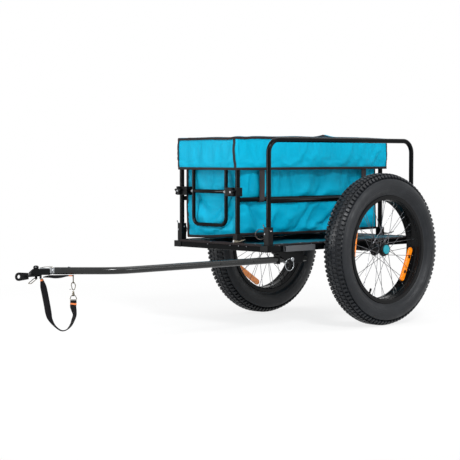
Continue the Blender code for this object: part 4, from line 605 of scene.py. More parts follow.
def wheel_tree():
    """Copies of an item turned evenly round X."""

    def build(tree, start):
        line = tree_node(tree, "GeometryNodeMeshLine", {"Count": start.outputs["Count"], "Offset": (0, 0, 0)})
        step = maths(tree, "DIVIDE", 2 * math.pi, start.outputs["Count"])
        index = tree_node(tree, "GeometryNodeInputIndex").outputs[0]
        angle = maths(tree, "ADD", maths(tree, "MULTIPLY", index, step), start.outputs["Start"])
        return line.outputs[0], tree_node(tree, "ShaderNodeCombineXYZ", {0: angle}).outputs[0]

    labels = [("Count", "NodeSocketInt"), ("Start", "NodeSocketFloat")]
    return copies_tree("copies_round_an_axle", labels, build)


def path_tree():
    """Copies of an item spaced evenly along a path of edges, their X along it."""

    def build(tree, start):
        line = tree_node(tree, "GeometryNodeMeshToCurve", {0: start.outputs["Geometry"]})
        inputs = {"Curve": line.outputs[0], "Length": start.outputs["Spacing"]}
        spaced = tree_node(tree, "GeometryNodeResampleCurve", inputs, mode="LENGTH")
        tangent = tree_node(tree, "GeometryNodeInputTangent").outputs[0]
        turn = tree_node(tree, "FunctionNodeAlignRotationToVector", {"Vector": tangent}, axis="X")
        return spaced.outputs[0], turn.outputs[0]

    return copies_tree("copies_along_a_path", [("Spacing", "NodeSocketFloat")], build)


def repeated(name, tree, item, values, look, body, turn=None, path=None, closed=False, angle=38):
    """The plain mesh of a node tree's copies of an item, as a piece of one body."""
    bmesh.ops.recalc_face_normals(item, faces=item.faces)
    helper = placed(name + "_item", item)
    guide = bpy.data.meshes.new(name)
    if path:
        ends = [(i, i + 1) for i in range(len(path) - 1)] + ([(len(path) - 1, 0)] if closed else [])
        guide.from_pydata([tuple(p) for p in path], ends, [])
    made = placed(name, guide)
    modifier = made.modifiers.new("copies", "NODES")
    modifier.node_group = tree
    values = {"Item": helper, "Finish": finish(look), **values}
    for entry in tree.interface.items_tree:
        if entry.in_out == "INPUT" and entry.name in values:
            modifier[entry.identifier] = values[entry.name]
    bpy.context.view_layer.update()
    graph = bpy.context.evaluated_depsgraph_get()
    result = bpy.data.meshes.new_from_object(made.evaluated_get(graph))
    made.modifiers.remove(modifier)
    made.data = result
    result.name = name
    bpy.data.objects.remove(helper)
    if not result.polygons:
        raise RuntimeError(f"{name} has no copies")
    result.transform(HOME @ turn if turn else HOME)
    return dressed(made, look, body, angle=angle)


# Wheels


def wheels():
    """Each wheel's name, its side and its place on the axle."""
    for name, side in SIDES:
        yield name, side, Matrix.Translation((side * AXLE.x, 0, WHEEL_RADIUS))


def tyre_surface(turn, inset=0.0):
    """A point of place and radius on the tyre's section, and its outward normal, by angle from the crown."""
    width, height = TYRE_HALF_WIDTH - inset, TYRE_HALF_HEIGHT - inset
    point = Vector((width * math.sin(turn), TYRE_MIDDLE + height * math.cos(turn)))
    normal = Vector((math.sin(turn) / width, math.cos(turn) / height)).normalized()
    return point, normal


def tyre_casing(knob):
    """The tyre's closed section: a casing sunk under the knobs, thin mould lines and the two beads."""
    outside = []
    for degrees in range(-130, 131, 2):
        reach = min(1.0, max(0.0, (61 - abs(degrees)) / 8))
        lines = 0.0007 if abs(degrees) in (90, 98, 106, 120) else 0.0
        outside.append(tuple(tyre_surface(math.radians(degrees), reach * knob - lines)[0]))
    inside = [tuple(tyre_surface(math.radians(d), 0.0060)[0]) for d in range(138, -139, -6)]
    edge = RIM_HALF - RIM_WALL - 0.0003
    bead = [(edge, RIM_EDGE + 0.0003), (edge, RIM_SEAT + 0.0003), (edge - 0.005, RIM_SEAT + 0.0003)]
    return [*outside, *bead, *inside, *[(-x, r) for x, r in reversed(bead)]]


def knob_block(turn, across, along, phase, knob, proud=0.0, lean=0.0):
    """One tread knob at an angle of the section: a block that narrows to its top, which follows it."""
    shape = bmesh.new()
    rings = []
    for share, level in ((1.0, 0.0), (0.95, 0.62), (0.87, 0.9), (0.70, 1.0)):
        corners = []
        for u, v in ((-1, -1), (0, -1), (1, -1), (1, 1), (0, 1), (-1, 1)):
            spot = turn + u * across * share / 2 / TYRE_HALF_WIDTH
            base, _ = tyre_surface(spot, knob + 0.0012)
            top, _ = tyre_surface(spot, -proud)
            at = base.lerp(top, level)
            radius = min(at.y, WHEEL_RADIUS)
            swing = phase + (v * along * share / 2 + lean * u * along) / WHEEL_RADIUS
            corners.append(shape.verts.new((at.x, radius * math.cos(swing), radius * math.sin(swing))))
        rings.append(corners)
    for first, second in zip(rings, rings[1:]):
        bridge(shape, first, second)
    shape.faces.new(rings[0])
    shape.faces.new(rings[-1])
    return shape


def tread_pitch(pitch, knob):
    """All the knobs of one repeat of the tread."""
    blocks = []
    for degrees, across, along, phase, proud in TREAD_ROWS:
        for side in (-1, 1) if degrees else (1,):
            turn = math.radians(side * degrees)
            blocks.append(knob_block(turn, across, along, phase * pitch, knob, proud, 0.08 * side))
    return merged(*blocks)


def make_tyres():
    """The casings, and the tread copied round them."""
    sizes = bpy.context.scene.trailer_wheels
    pitch = 2 * math.pi / sizes.tread_pitches
    for name, _, centre in wheels():
        casing = turned(tyre_casing(sizes.knob_height), 180)
        piece(f"{name}_tyre_casing", casing, "rubber", f"{name}_wheel", [f"{name}_tyre"], centre, angle=60)
        knobs = tread_pitch(pitch, sizes.knob_height)
        values = {"Count": sizes.tread_pitches, "Start": -math.pi / 2}
        repeated(f"{name}_tread", wheel_tree(), knobs, values, "rubber", f"{name}_wheel", centre, angle=30)


def make_rims():
    """Deep rims with a ribbed inner face, and the valves."""
    for name, _, centre in wheels():
        lip = [(RIM_HALF - RIM_WALL, RIM_EDGE), (RIM_HALF - 0.0022, RIM_EDGE + 0.0007)]
        lip += [(RIM_HALF, RIM_EDGE - 0.0004), (RIM_HALF + 0.0002, RIM_SEAT - 0.001)]
        ribs = [(RIM_HALF - 0.002, RIM_SEAT - RIM_WALL - 0.0008)]
        for x in (0.032, 0.024, 0.0155):
            ribs += [(x + 0.0022, RIM_INNER + 0.0022), (x + 0.0010, RIM_INNER + 0.0004)]
            ribs += [(x - 0.0006, RIM_INNER + 0.0004), (x - 0.0018, RIM_INNER + 0.0018)]
        ribs += [(0.0105, RIM_INNER), (0.0040, RIM_INNER - 0.0002)]
        floor = [(0.012, RIM_INNER + 0.002), (RIM_HALF - RIM_WALL, RIM_SEAT)]
        half = [*floor, *lip, *ribs]
        section = [*half, *[(-x, r) for x, r in reversed(half)]]
        rim = turned(section, 180)
        piece(f"{name}_deep_rim", rim, "rim", f"{name}_wheel", [f"{name}_rim"], centre, angle=25)
        turn = REFLECTOR_TURNS[name] + VALVE_FROM_REFLECTOR
        out = Vector((0, math.cos(turn), math.sin(turn)))
        base = RIM_INNER + 0.0015
        stem = [(0, 0.0), (0, 0.0036), (0.002, 0.0036), (0.002, 0.0042), (0.012, 0.0042)]
        stem += [(0.013, 0.0036), (0.0285, 0.0034), (0.0295, 0.0068), (0.0320, 0.0068), (0.0325, 0.0)]
        aim = out.to_track_quat("X", "Z").to_matrix().to_4x4()
        valve = turned(stem, 20, Matrix.Translation(out * (base - 0.0325)) @ aim)
        piece(f"{name}_valve_cap", valve, "plastic", f"{name}_wheel", (), centre)


def spoke_ends(number, side):
    """Where a spoke leaves its flange and where it ends at the rim; even numbers are on the outer flange."""
    outside = number % 2 == 0
    flange = OUTER_FLANGE - (0 if outside else FLANGE_SPACING)
    lead = 1 if number // 2 % 2 else -1
    rim_turn = math.pi * number / 18 - math.pi / 2
    hub_turn = rim_turn + lead * SPOKE_LEAD
    shift = lead * SPOKE_STAGGER
    at_rim = SPOKE_RIM_OFFSET if outside else -SPOKE_RIM_OFFSET
    places = ((flange, SPOKE_CIRCLE, hub_turn), (at_rim, RIM_INNER, rim_turn))
    return [
        Vector((side * (x + shift), radius * math.cos(turn), radius * math.sin(turn)))
        for x, radius, turn in places
    ]


def make_spokes():
    """Spokes with their heads in the hub's flanges, and the nipples at the rim."""
    radius = bpy.context.scene.trailer_wheels.spoke_radius
    for name, side, centre in wheels():
        wires, nipples = [], []
        for number in range(4):
            hub, rim = spoke_ends(number, side)
            along = (rim - hub).normalized()
            wires.append(rod(hub, rim - along * 0.004, radius, 8))
            head = Vector((0.0026 * (1 if number // 2 % 2 else -1) * side, 0, 0))
            wires.append(rod(hub - 0.4 * head, hub + 0.5 * head, 0.0021, 10))
            nipples.append(rod(rim - along * 0.0125, rim + along * 0.0005, 0.0021, 8))
        body, values = f"{name}_wheel", {"Count": 9, "Start": 0.0}
        repeated(f"{name}_spokes", wheel_tree(), merged(*wires), values, "spoke", body, centre)
        repeated(f"{name}_nipples", wheel_tree(), merged(*nipples), values, "zinc", body, centre)


def make_hubs():
    """Hubs with two flanges and a bezel round the release button, and the buttons."""
    for name, side, centre in wheels():
        near, far = OUTER_FLANGE, OUTER_FLANGE - FLANGE_SPACING
        bore, bezel, body, flange = 0.0139, 0.0184, 0.0175, 0.0285
        rims = [(0.0022, flange - 0.0008), (0.0012, flange), (-0.0012, flange), (-0.0022, flange - 0.0008)]
        profile = [(0.0148, bore), (0.0148, bezel), (HUB_END - 0.0006, bezel), (HUB_END, 0.0190)]
        profile += [(HUB_END, 0.0226), (HUB_END - 0.0008, 0.0234), (near + 0.0055, 0.0236)]
        profile += [(near + 0.0028, 0.0250), *[(near + x, r) for x, r in rims], (near - 0.0026, 0.0222)]
        profile += [(near - 0.0060, body + 0.0008), (near - 0.0100, body), (far + 0.0100, body)]
        profile += [(far + 0.0060, body + 0.0008), (far + 0.0026, 0.0222), *[(far + x, r) for x, r in rims]]
        profile += [(far - 0.0026, 0.0235), (far - 0.0060, 0.0190), (HUB_INNER + 0.0008, body)]
        profile += [(HUB_INNER, 0.0167), (HUB_INNER, bore)]
        shell = turned([(side * x, r) for x, r in profile], 72)
        stands_for = [f"{name}_spoked_hub"]
        piece(f"{name}_hub_shell", shell, "hub", f"{name}_wheel", stands_for, centre, angle=30)
        low, high = node_box(f"{name}_axle_button")
        face = side * ((high.x if side > 0 else low.x) - side * AXLE.x)
        dome = [(-0.0060, 0.0), (-0.0060, 0.0172), (-0.0020, 0.0180), (-0.0006, 0.0176), (0, 0.0166)]
        dome += [(-0.0002, 0.0150), (-0.0005, 0.0144), (-0.0002, 0.0136), (0.0004, 0.0070), (0.0006, 0.0)]
        stem = [(-0.0230, 0.0), (-0.0230, 0.0026), (-0.0225, 0.0030), (-0.0050, 0.0030), (-0.0050, 0.0)]
        button = merged(*[turned([(side * (face + x), r) for x, r in part], 56) for part in (dome, stem)])
        node = f"{name}_axle_button"
        piece(f"{name}_release_button", button, "button", f"{name}_button", [node], centre, angle=30)


def make_reflectors():
    """Amber bars with round ends and a raised face, and their clips on the spokes."""
    for name, side, centre in wheels():
        for label, extra in (("front", 0), ("rear", SECOND_REFLECTOR_TURN)):
            node = f"{name}_{label}_reflector"
            low, high = node_box(node)
            inner, outer = sorted((side * low.x - AXLE.x, side * high.x - AXLE.x))
            turn = Matrix.Rotation(REFLECTOR_TURNS[name] + extra, 4, "X")
            stand = turn @ Matrix.Translation((0, REFLECTOR_RADIUS, 0)) @ Matrix.Rotation(math.pi / 2, 4, "Y")
            half = 0.060
            arc = arc_points(0.012, range(-90, 91, 15))
            outline = [(half + x, y) for x, y in arc] + [(-half - x, -y) for x, y in arc]
            slim = [(x * 0.97, y * 0.80) for x, y in outline]
            bar = extruded(outline, side * inner, side * (outer - 0.0012), stand)
            face = extruded(slim, side * (outer - 0.0020), side * outer, stand)
            body = f"{name}_wheel"
            piece(node + "_lens", merged(bar, face), "amber", body, [node], centre, bevel=0.0009)
            clips = []
            for place in (-0.032, 0.032):
                low_corner = (place - 0.006, -0.0045, side * (outer - 0.0005))
                high_corner = (place + 0.006, 0.0045, side * (outer + 0.0030))
                clips.append(box(low_corner, high_corner))
            piece(node + "_clips", merged(*clips), "plastic", body, (), centre @ stand, bevel=0.0010)


# Frame, hoops and fittings


def make_base_frame():
    """Box rails with rounded edges, the axle tube and its saddles."""
    inside = RAIL_OUT - CROSS_RAIL_DEPTH
    low, high = RAIL_UNDER, FRAME_HIGH.z
    front, rear = FRAME_LOW.y, FRAME_HIGH.y
    rails = [box((s * inside, front, low), (s * RAIL_OUT, rear, high)) for s in (-1, 1)]
    reach, lift = inside + 0.001, 0.00015
    for start in (front, MIDDLE_RAIL_Y - CROSS_RAIL_DEPTH / 2, rear - CROSS_RAIL_DEPTH):
        rails.append(box((-reach, start + lift, low + lift), (reach, start + CROSS_RAIL_DEPTH, high - lift)))
    piece("welded_box_rails", merged(*rails), "paint", "trailer", ["base_frame"], bevel=0.0028, steps=3)
    half = AXLE.x + HUB_INNER - 0.0003
    tube = [(-half, 0.0064), (-half, AXLE_TUBE - 0.0006), (-half + 0.0006, AXLE_TUBE)]
    tube += [(half - 0.0006, AXLE_TUBE), (half, AXLE_TUBE - 0.0006), (half, 0.0064)]
    parts = [turned(tube, 32, Matrix.Translation((0, 0, WHEEL_RADIUS)))]
    seat, saddle_half = RAIL_UNDER + 0.001, 0.0018
    saddle = [(-0.024, seat), (0.024, seat), (0.0125, 0.2955), (0.0, 0.2905), (-0.0125, 0.2955)]
    turn = Matrix.Rotation(math.pi / 2, 4, "Z") @ Matrix.Rotation(math.pi / 2, 4, "X")
    for side in (-1, 1):
        for x in (inside + 0.004, RAIL_OUT - 0.004):
            parts.append(extruded(saddle, side * x - saddle_half, side * x + saddle_half, turn))
    piece("axle_tube", merged(*parts), "paint", "trailer", (), bevel=0.0006)


def make_rail_fittings():
    """Sleeve, sockets, caps, clamps and receiver with their edges broken, and the sockets' screws."""
    names = ["side_sleeve", *[f"{side}_{end}_hoop_socket" for side, _ in SIDES for end, _ in ENDS]]
    names += ["left_rail_end_cap", "right_rail_end_cap", "front_base_clamp", "rear_base_clamp"]
    names += ["left_guard_clamp", "right_guard_clamp", "tow_bar_receiver"]
    for name in names:
        look = "grey" if name == "side_sleeve" else "plastic"
        piece(name + "_moulding", solid_copy(name), look, stands_for=[name], bevel=0.0012)
    screws = []
    for side in (-1, 1):
        for y, end in ((HOOP_FRONT, -1), (HOOP_REAR, 1)):
            foot = Vector((side * RAIL_X - 0.0075, y + end * 0.0126, FRAME_HIGH.z + 0.0435))
            screws.append(rod(foot, foot + Vector((0, end * 0.0020, 0)), 0.0036, 16, 0.0008))
    piece("socket_screws", merged(*screws), "zinc")


def make_hoops():
    """Bent rail hoops with their middle rails and weld beads."""
    for name, x in (("left_hoop", RAIL_X), ("middle_hoop", MIDDLE_X), ("right_hoop", -RAIL_X)):
        foot = node_box(name)[0].z
        corners = [(HOOP_FRONT, foot), (HOOP_FRONT, HOOP_TOP), (HOOP_REAR, HOOP_TOP), (HOOP_REAR, foot)]
        path = rounded([(x, *corner) for corner in corners], HOOP_BEND, 14)
        parts = [swept(path, circle(TUBE, 24), (1, 0, 0))]
        ends = (x, HOOP_FRONT + 0.5 * TUBE, HOOP_RAIL_Z), (x, HOOP_REAR - 0.5 * TUBE, HOOP_RAIL_Z)
        parts.append(rod(*ends, HOOP_RAIL, 24))
        for y, end in ((HOOP_FRONT, 1), (HOOP_REAR, -1)):
            place = (x, y + end * 0.92 * TUBE, HOOP_RAIL_Z)
            parts.append(ring(place, 0.93 * HOOP_RAIL, 0.0014, (0, 1, 0), 28, 8))
        piece(name + "_tube", merged(*parts), "paint", "trailer", [name], angle=50)


def make_hoop_pins():
    """Locking pins with their heads, spring bails and finger rings."""
    for side_name, side in SIDES:
        for end_name, y in (("front", HOOP_FRONT), ("rear", HOOP_REAR)):
            node, body = f"{side_name}_{end_name}_hoop_pin", f"{side_name}_{end_name}_pin"
            end = -1 if end_name == "front" else 1
            z = node_box(f"{side_name}_{end_name}_hoop_socket")[1].z - PIN_UNDER_SOCKET_TOP
            place = Matrix.Translation((side * RAIL_X, y, z))
            face = 0.0128
            profile = [(-0.0165, 0), (-0.0162, 0.0018), (-0.0150, 0.0030), (face, 0.0030), (face, 0.0050)]
            profile += [(face + 0.0006, 0.0056), (face + 0.0040, 0.0056), (face + 0.0048, 0.0048)]
            profile.append((face + 0.0052, 0))
            clip = [(-face - 0.0030, 0, 0.004), (-face - 0.0034, end * 0.006, 0.012)]
            clip.append((-face - 0.0030, end * 0.013, 0.024))
            handle = swept(smooth_curve(clip, 5), circle(0.0019, 10), (1, 0, 0))
            pin = merged(turned([(-a, r) for a, r in profile], 28), handle)
            piece(node + "_body", pin, "zinc", body, [node], place, angle=30)
            lean = Vector((-1, end, 0)).normalized() if side > 0 else Vector((0, 1, 0))
            middle = Vector((-face - 0.0025, 0, -0.0130)) + 0.0190 * lean
            loop = ring(middle, 0.0195, 0.0017, lean.cross(Vector((0, 0, 1))), 40, 10)
            piece(node + "_ring", loop, "cable", body, (), place, angle=60)


def make_levers():
    """Cam levers with a round head and a turned-up tip, their bolts slim enough to turn in the clamps."""
    for end_name, end in ENDS:
        node = f"{end_name}_cam_lever"
        body = f"{end_name}_lever"
        pivot = joint_place(f"{end_name}_lever_lift")
        forging = solid_copy(node)
        for vertex in forging.verts:
            if end * (vertex.co.y - pivot.y) < -0.0002:
                vertex.co.x = pivot.x + LEVER_BOLT_SHARE * (vertex.co.x - pivot.x)
                vertex.co.z = pivot.z + LEVER_BOLT_SHARE * (vertex.co.z - pivot.z)
        piece(node + "_forging", forging, "nickel", body, [node], bevel=0.0007)
        out = Vector((0, end, 0))
        boss = rod(pivot + out * 0.0055, pivot + out * 0.0078, 0.0046, 20, 0.0007)
        piece(node + "_nut", boss, "steel", body)


def make_guard():
    """The guard loop with its cross bar, and the bolts where they cross."""
    low, high = node_box("front_guard_loop")
    y = (low.y + high.y) / 2
    left, right = GUARD_XS
    bottom, top = low.z + GUARD_TUBE, high.z - GUARD_TUBE
    corners = [(left, y, bottom), (left, y, top), (right, y, top), (right, y, bottom)]
    path = rounded(corners, GUARD_BEND, 12, True)
    parts = [swept(path, circle(GUARD_TUBE + 0.0006, 20), (0, 1, 0), closed=True)]
    parts.append(rod((low.x, y, GUARD_BAR_Z), (high.x, y, GUARD_BAR_Z), GUARD_BAR))
    bolts = []
    for x in GUARD_XS:
        for k in (-1, 1):
            weld = (x + k * GUARD_TUBE * 0.9, y, GUARD_BAR_Z)
            parts.append(ring(weld, GUARD_BAR * 0.96, 0.0012, (1, 0, 0), 24, 8))
        start = Vector((x, y - GUARD_BAR - 0.0002, GUARD_BAR_Z))
        bolts.append(rod(start, start - Vector((0, 0.0012, 0)), 0.0050, 24, 0.0003))
        bolts.append(rod(start - Vector((0, 0.0011, 0)), start - Vector((0, 0.0042, 0)), 0.0034, 6, 0.0004))
    piece("guard_loop_tube", merged(*parts), "paint", stands_for=["front_guard_loop"], angle=50)
    piece("guard_bolts", merged(*bolts), "zinc")


def make_star_knobs():
    """Star knobs with rounded lobes and a plated insert."""
    for name, _ in SIDES:
        node, body = f"{name}_star_knob", f"{name}_knob"
        place = joint_place(f"{name}_knob_turn")
        count, lobes = 80, 5
        waves = [math.cos(2 * math.pi * lobes * k / count - math.pi / 2) for k in range(count)]
        outline = [arc_points(0.0143 + 0.0037 * wave, [360 * k / count])[0] for k, wave in enumerate(waves)]
        turn = Matrix.Translation(place) @ Matrix.Rotation(math.pi / 2, 4, "X")
        shape = extruded(outline, 0.0030, 0.0140, turn)
        hub = rod(place, place + Vector((0, -0.0040, 0)), 0.0105, 32)
        piece(node + "_grip", merged(shape, hub), "plastic", body, [node], bevel=0.0016, steps=3, angle=45)
        start = place - Vector((0, 0.0138, 0))
        insert = rod(start, start - Vector((0, 0.0012, 0)), 0.0046, 24, 0.0005)
        piece(node + "_insert", insert, "zinc", body)


# Cloth


def fold_field(folds, s, h, scale=1.0):
    """Depth of the named folds at a place of a cloth panel, each a line with a width and a height."""
    depth = 0.0
    for (s1, h1), (s2, h2), width, height in folds:
        run = Vector((s2 - s1, h2 - h1))
        t = max(0.0, min(1.0, Vector((s - s1, h - h1)).dot(run) / run.length_squared))
        away = (Vector((s1, h1)) + t * run - Vector((s, h))).length
        taper = math.sin(math.pi * (0.12 + 0.76 * t))
        depth += height * taper * math.exp(-((away / width) ** 2))
    return depth * scale


LEFT_FOLDS = (
    ((-0.50, 0.56), (-0.43, 0.40), 0.014, -0.006), ((-0.47, 0.60), (-0.47, 0.52), 0.008, -0.006),
    ((-0.38, 0.60), (-0.40, 0.52), 0.012, 0.004), ((-0.30, 0.39), (-0.12, 0.60), 0.020, 0.006),
    ((-0.22, 0.38), (-0.02, 0.60), 0.016, -0.007), ((-0.14, 0.375), (0.05, 0.49), 0.018, 0.006),
    ((-0.05, 0.38), (0.14, 0.60), 0.020, -0.007), ((0.05, 0.40), (0.20, 0.56), 0.018, 0.006),
    ((0.12, 0.38), (0.25, 0.47), 0.014, -0.006), ((-0.50, 0.49), (-0.34, 0.47), 0.010, -0.003),
    ((-0.40, 0.38), (-0.33, 0.47), 0.014, 0.004), ((0.10, 0.61), (0.17, 0.50), 0.012, -0.005),
)
FRONT_FOLDS = (
    ((-0.170, 0.60), (-0.172, 0.42), 0.007, -0.004), ((-0.158, 0.60), (-0.160, 0.42), 0.009, 0.003),
    ((-0.12, 0.38), (-0.02, 0.47), 0.016, 0.005), ((-0.06, 0.375), (0.03, 0.44), 0.012, -0.005),
    ((0.03, 0.60), (0.036, 0.42), 0.011, -0.004), ((-0.20, 0.37), (-0.14, 0.42), 0.012, -0.004),
    ((0.00, 0.40), (0.05, 0.54), 0.010, 0.003), ((-0.10, 0.55), (0.01, 0.60), 0.014, -0.003),
    ((-0.15, 0.395), (0.04, 0.385), 0.010, 0.004),
)


def panel_ring(left, right, front, rear, radius, counts, bend=5):
    """Points round a rectangle with rounded corners: place, outward direction, side and share along it.

    The radius is one number, or one for each corner: rear left, rear right, front right, front left.
    """
    rows = []
    by_corner = radius if isinstance(radius, tuple) else (radius,) * 4
    rear_left, rear_right, front_right, front_left = by_corner
    sides = (
        ((left, front + front_left), (left, rear - rear_left), (1, 0), counts[0], "left"),
        ((left - rear_left, rear), (right + rear_right, rear), (0, 1), counts[1], "rear"),
        ((right, rear - rear_right), (right, front + front_right), (-1, 0), counts[0], "right"),
        ((right + front_right, front), (left - front_left, front), (0, -1), counts[1], "front"),
    )
    for number, (start, end, out, count, label) in enumerate(sides):
        radius = by_corner[number]
        for k in range(count):
            t = k / count
            place = Vector(start).lerp(Vector(end), t)
            rows.append((place, Vector(out), label, t))
        following = Vector(sides[(number + 1) % 4][2])
        centre = Vector(end) - Vector(out) * radius
        for k in range(bend):
            turn = Vector(out).slerp(following, k / bend)
            rows.append((centre + turn * radius, turn, label, 1.0))
    return rows


def walled(sheet, thickness, look, stands_for):
    """Gives a sheet its thickness inward from its face, and its finish."""
    wall = sheet.modifiers.new("wall", "SOLIDIFY")
    wall.thickness, wall.offset = thickness, -1
    return dressed(sheet, look, "trailer", stands_for, 60)


def cloth_mesh(name, rings, thickness, look, closed_bottom, stands_for):
    """A sheet through rings of points with its weave map in metres, given its thickness."""
    shape = bmesh.new()
    layer = shape.loops.layers.uv.new("weave")
    made = [[shape.verts.new(p) for p in level] for level in rings]
    count = len(rings[0])
    lap, drop = [0.0], [0.0]
    for k in range(count):
        lap.append(lap[-1] + (rings[0][(k + 1) % count] - rings[0][k]).length)
    for first, second in zip(rings, rings[1:]):
        some = zip(first[:: count // 8], second[:: count // 8])
        drop.append(drop[-1] + max((a - b).length for a, b in some))
    for i in range(len(rings) - 1):
        for k in range(count):
            j = (k + 1) % count
            face = shape.faces.new((made[i][k], made[i][j], made[i + 1][j], made[i + 1][k]))
            for corner, (u, v) in zip(face.loops, ((k, i), (k + 1, i), (k + 1, i + 1), (k, i + 1))):
                corner[layer].uv = (lap[u], drop[v])
    if closed_bottom:
        cap = shape.faces.new(made[-1])
        for corner in cap.loops:
            corner[layer].uv = corner.vert.co.xy
    bmesh.ops.recalc_face_normals(shape, faces=shape.faces)
    bmesh.ops.transform(shape, matrix=HOME, verts=shape.verts)
    return walled(placed(name, shape), thickness, look, stands_for)


def settled(sheet, held, spare, cap):
    """Lets a sheet buckle with its spare size while the held points stay, within a cap for each point."""
    start = [v.co.copy() for v in sheet.data.vertices]
    group = sheet.vertex_groups.new(name="held")
    group.add(sorted(held), 1.0, "REPLACE")
    walls = [m for m in sheet.modifiers if m.type == "SOLIDIFY"]
    for wall in walls:
        wall.show_viewport = False
    cloth = sheet.modifiers.new("cloth", "CLOTH")
    cloth.settings.quality = 6
    cloth.settings.mass = 0.2
    cloth.settings.air_damping = 3.0
    for kind in ("tension", "compression", "shear"):
        setattr(cloth.settings, kind + "_stiffness", 12)
    cloth.settings.bending_stiffness = 0.15
    cloth.settings.effector_weights.gravity = 0.3
    cloth.settings.shrink_min = -spare
    cloth.settings.vertex_group_mass = "held"
    cloth.collision_settings.use_collision = False
    cloth.collision_settings.use_self_collision = False
    cloth.point_cache.frame_start, cloth.point_cache.frame_end = 1, CLOTH_FRAMES
    scene = bpy.context.scene
    for number in range(1, CLOTH_FRAMES + 1):
        scene.frame_set(number)
    graph = bpy.context.evaluated_depsgraph_get()
    moved = [v.co.copy() for v in sheet.evaluated_get(graph).data.vertices]
    sheet.modifiers.remove(cloth)
    sheet.vertex_groups.remove(group)
    scene.frame_set(1)
    for wall in walls:
        wall.show_viewport = True
    for number, (before, after) in enumerate(zip(start, moved)):
        sheet.data.vertices[number].co = before + cap(number, before, after - before)
    sheet.data.update()


def wall_cap(sides, rows, low, high, room):
    """A cap that keeps each point of a wall between an inner and an outer limit of its own column."""
    count = len(sides)

    def cap(number, before, move):
        if number >= rows * count:
            return Vector()
        _, out, label, _ = sides[number % count]
        out = out.to_3d()
        push = move.dot(out)
        slide = move - push * out
        if slide.length > room:
            slide *= room / slide.length
        return slide + out * max(low(label, before), min(high(label, before), push))

    return cap


def binding(name, path, normals, closed=True, width=None, thickness=0.0030):
    """Edge tape along a path: a flattened round section lying against the cloth."""
    width = width or bpy.context.scene.trailer_cloth.binding_width
    section = []
    for along, across in circle(1, 16):
        section.append((thickness / 2 * across, width / 2 * math.copysign(abs(along) ** 0.4, along)))
    piece(name, swept(path, section, normals, closed), "binding", angle=60)


def corner_bindings(prefix, rings, outs, columns, width):
    """Tape down the corners of a bag or cuff, each at a column of its cloth."""
    for label, column in columns.items():
        path = [level[column] + outs[column] * 0.0010 for level in rings]
        binding(f"{prefix}_{label}_binding", path, [tuple(outs[column])] * len(path), False, width)


def taped(upper, lower, out, share, proud):
    """A place for the tape between two rows of cloth, in front of both."""
    rise = (upper - lower).dot(out)
    ahead = max(0.0, rise) * (1 - share) + max(0.0, -rise) * share
    return lower.lerp(upper, share) + out * (proud + ahead)


def stitches(name, path):
    """A closed line of stitches."""
    stitch = rod((-0.0012, 0, 0), (0.0012, 0, 0), 0.00032, 6, 0.0002)
    values = {"Spacing": bpy.context.scene.trailer_cloth.stitch}
    repeated(name, path_tree(), stitch, values, "dark_thread", "trailer", path=path, closed=True)


def bag_shift(label, place, height, low_edge):
    """How far the bag's cloth stands out from its flat panel: folds, soft waves, and the rails' press."""
    x, y = place
    if label == "left":
        depth = fold_field(LEFT_FOLDS, y, height)
    elif label == "front":
        depth = fold_field(FRONT_FOLDS, x, height)
    elif label == "right":
        depth = fold_field(LEFT_FOLDS, -y - 0.26, height, 0.9)
    else:
        depth = fold_field(FRONT_FOLDS, -x - 0.17, height)
    wave = noise.noise(Vector((x * 11, y * 11, height * 9))) * 0.0035
    depth += wave + noise.noise(Vector((x * 34, y * 34, height * 20))) * 0.0010
    pressed = math.exp(-(((height - HOOP_RAIL_Z) / 0.014) ** 2))
    slack = min(1.0, max(0.0, (height - low_edge) / 0.02), max(0.0, (HOOP_TOP - 0.01 - height) / 0.03))
    limit = 0.0009 if label in ("left", "right") and pressed > 0.1 else 0.0090
    depth = slack * (1.9 * depth * (1 - 0.9 * pressed) + 0.0015) - 0.0015 * pressed
    return max(-0.018, min(limit, depth))


def settled_rings(sheet, rows, count):
    """The rings of a cloth after its simulation, in the trailer's own frame."""
    back = HOME.inverted()
    return [[back @ v.co for v in sheet.data.vertices[j * count : (j + 1) * count]] for j in range(rows)]


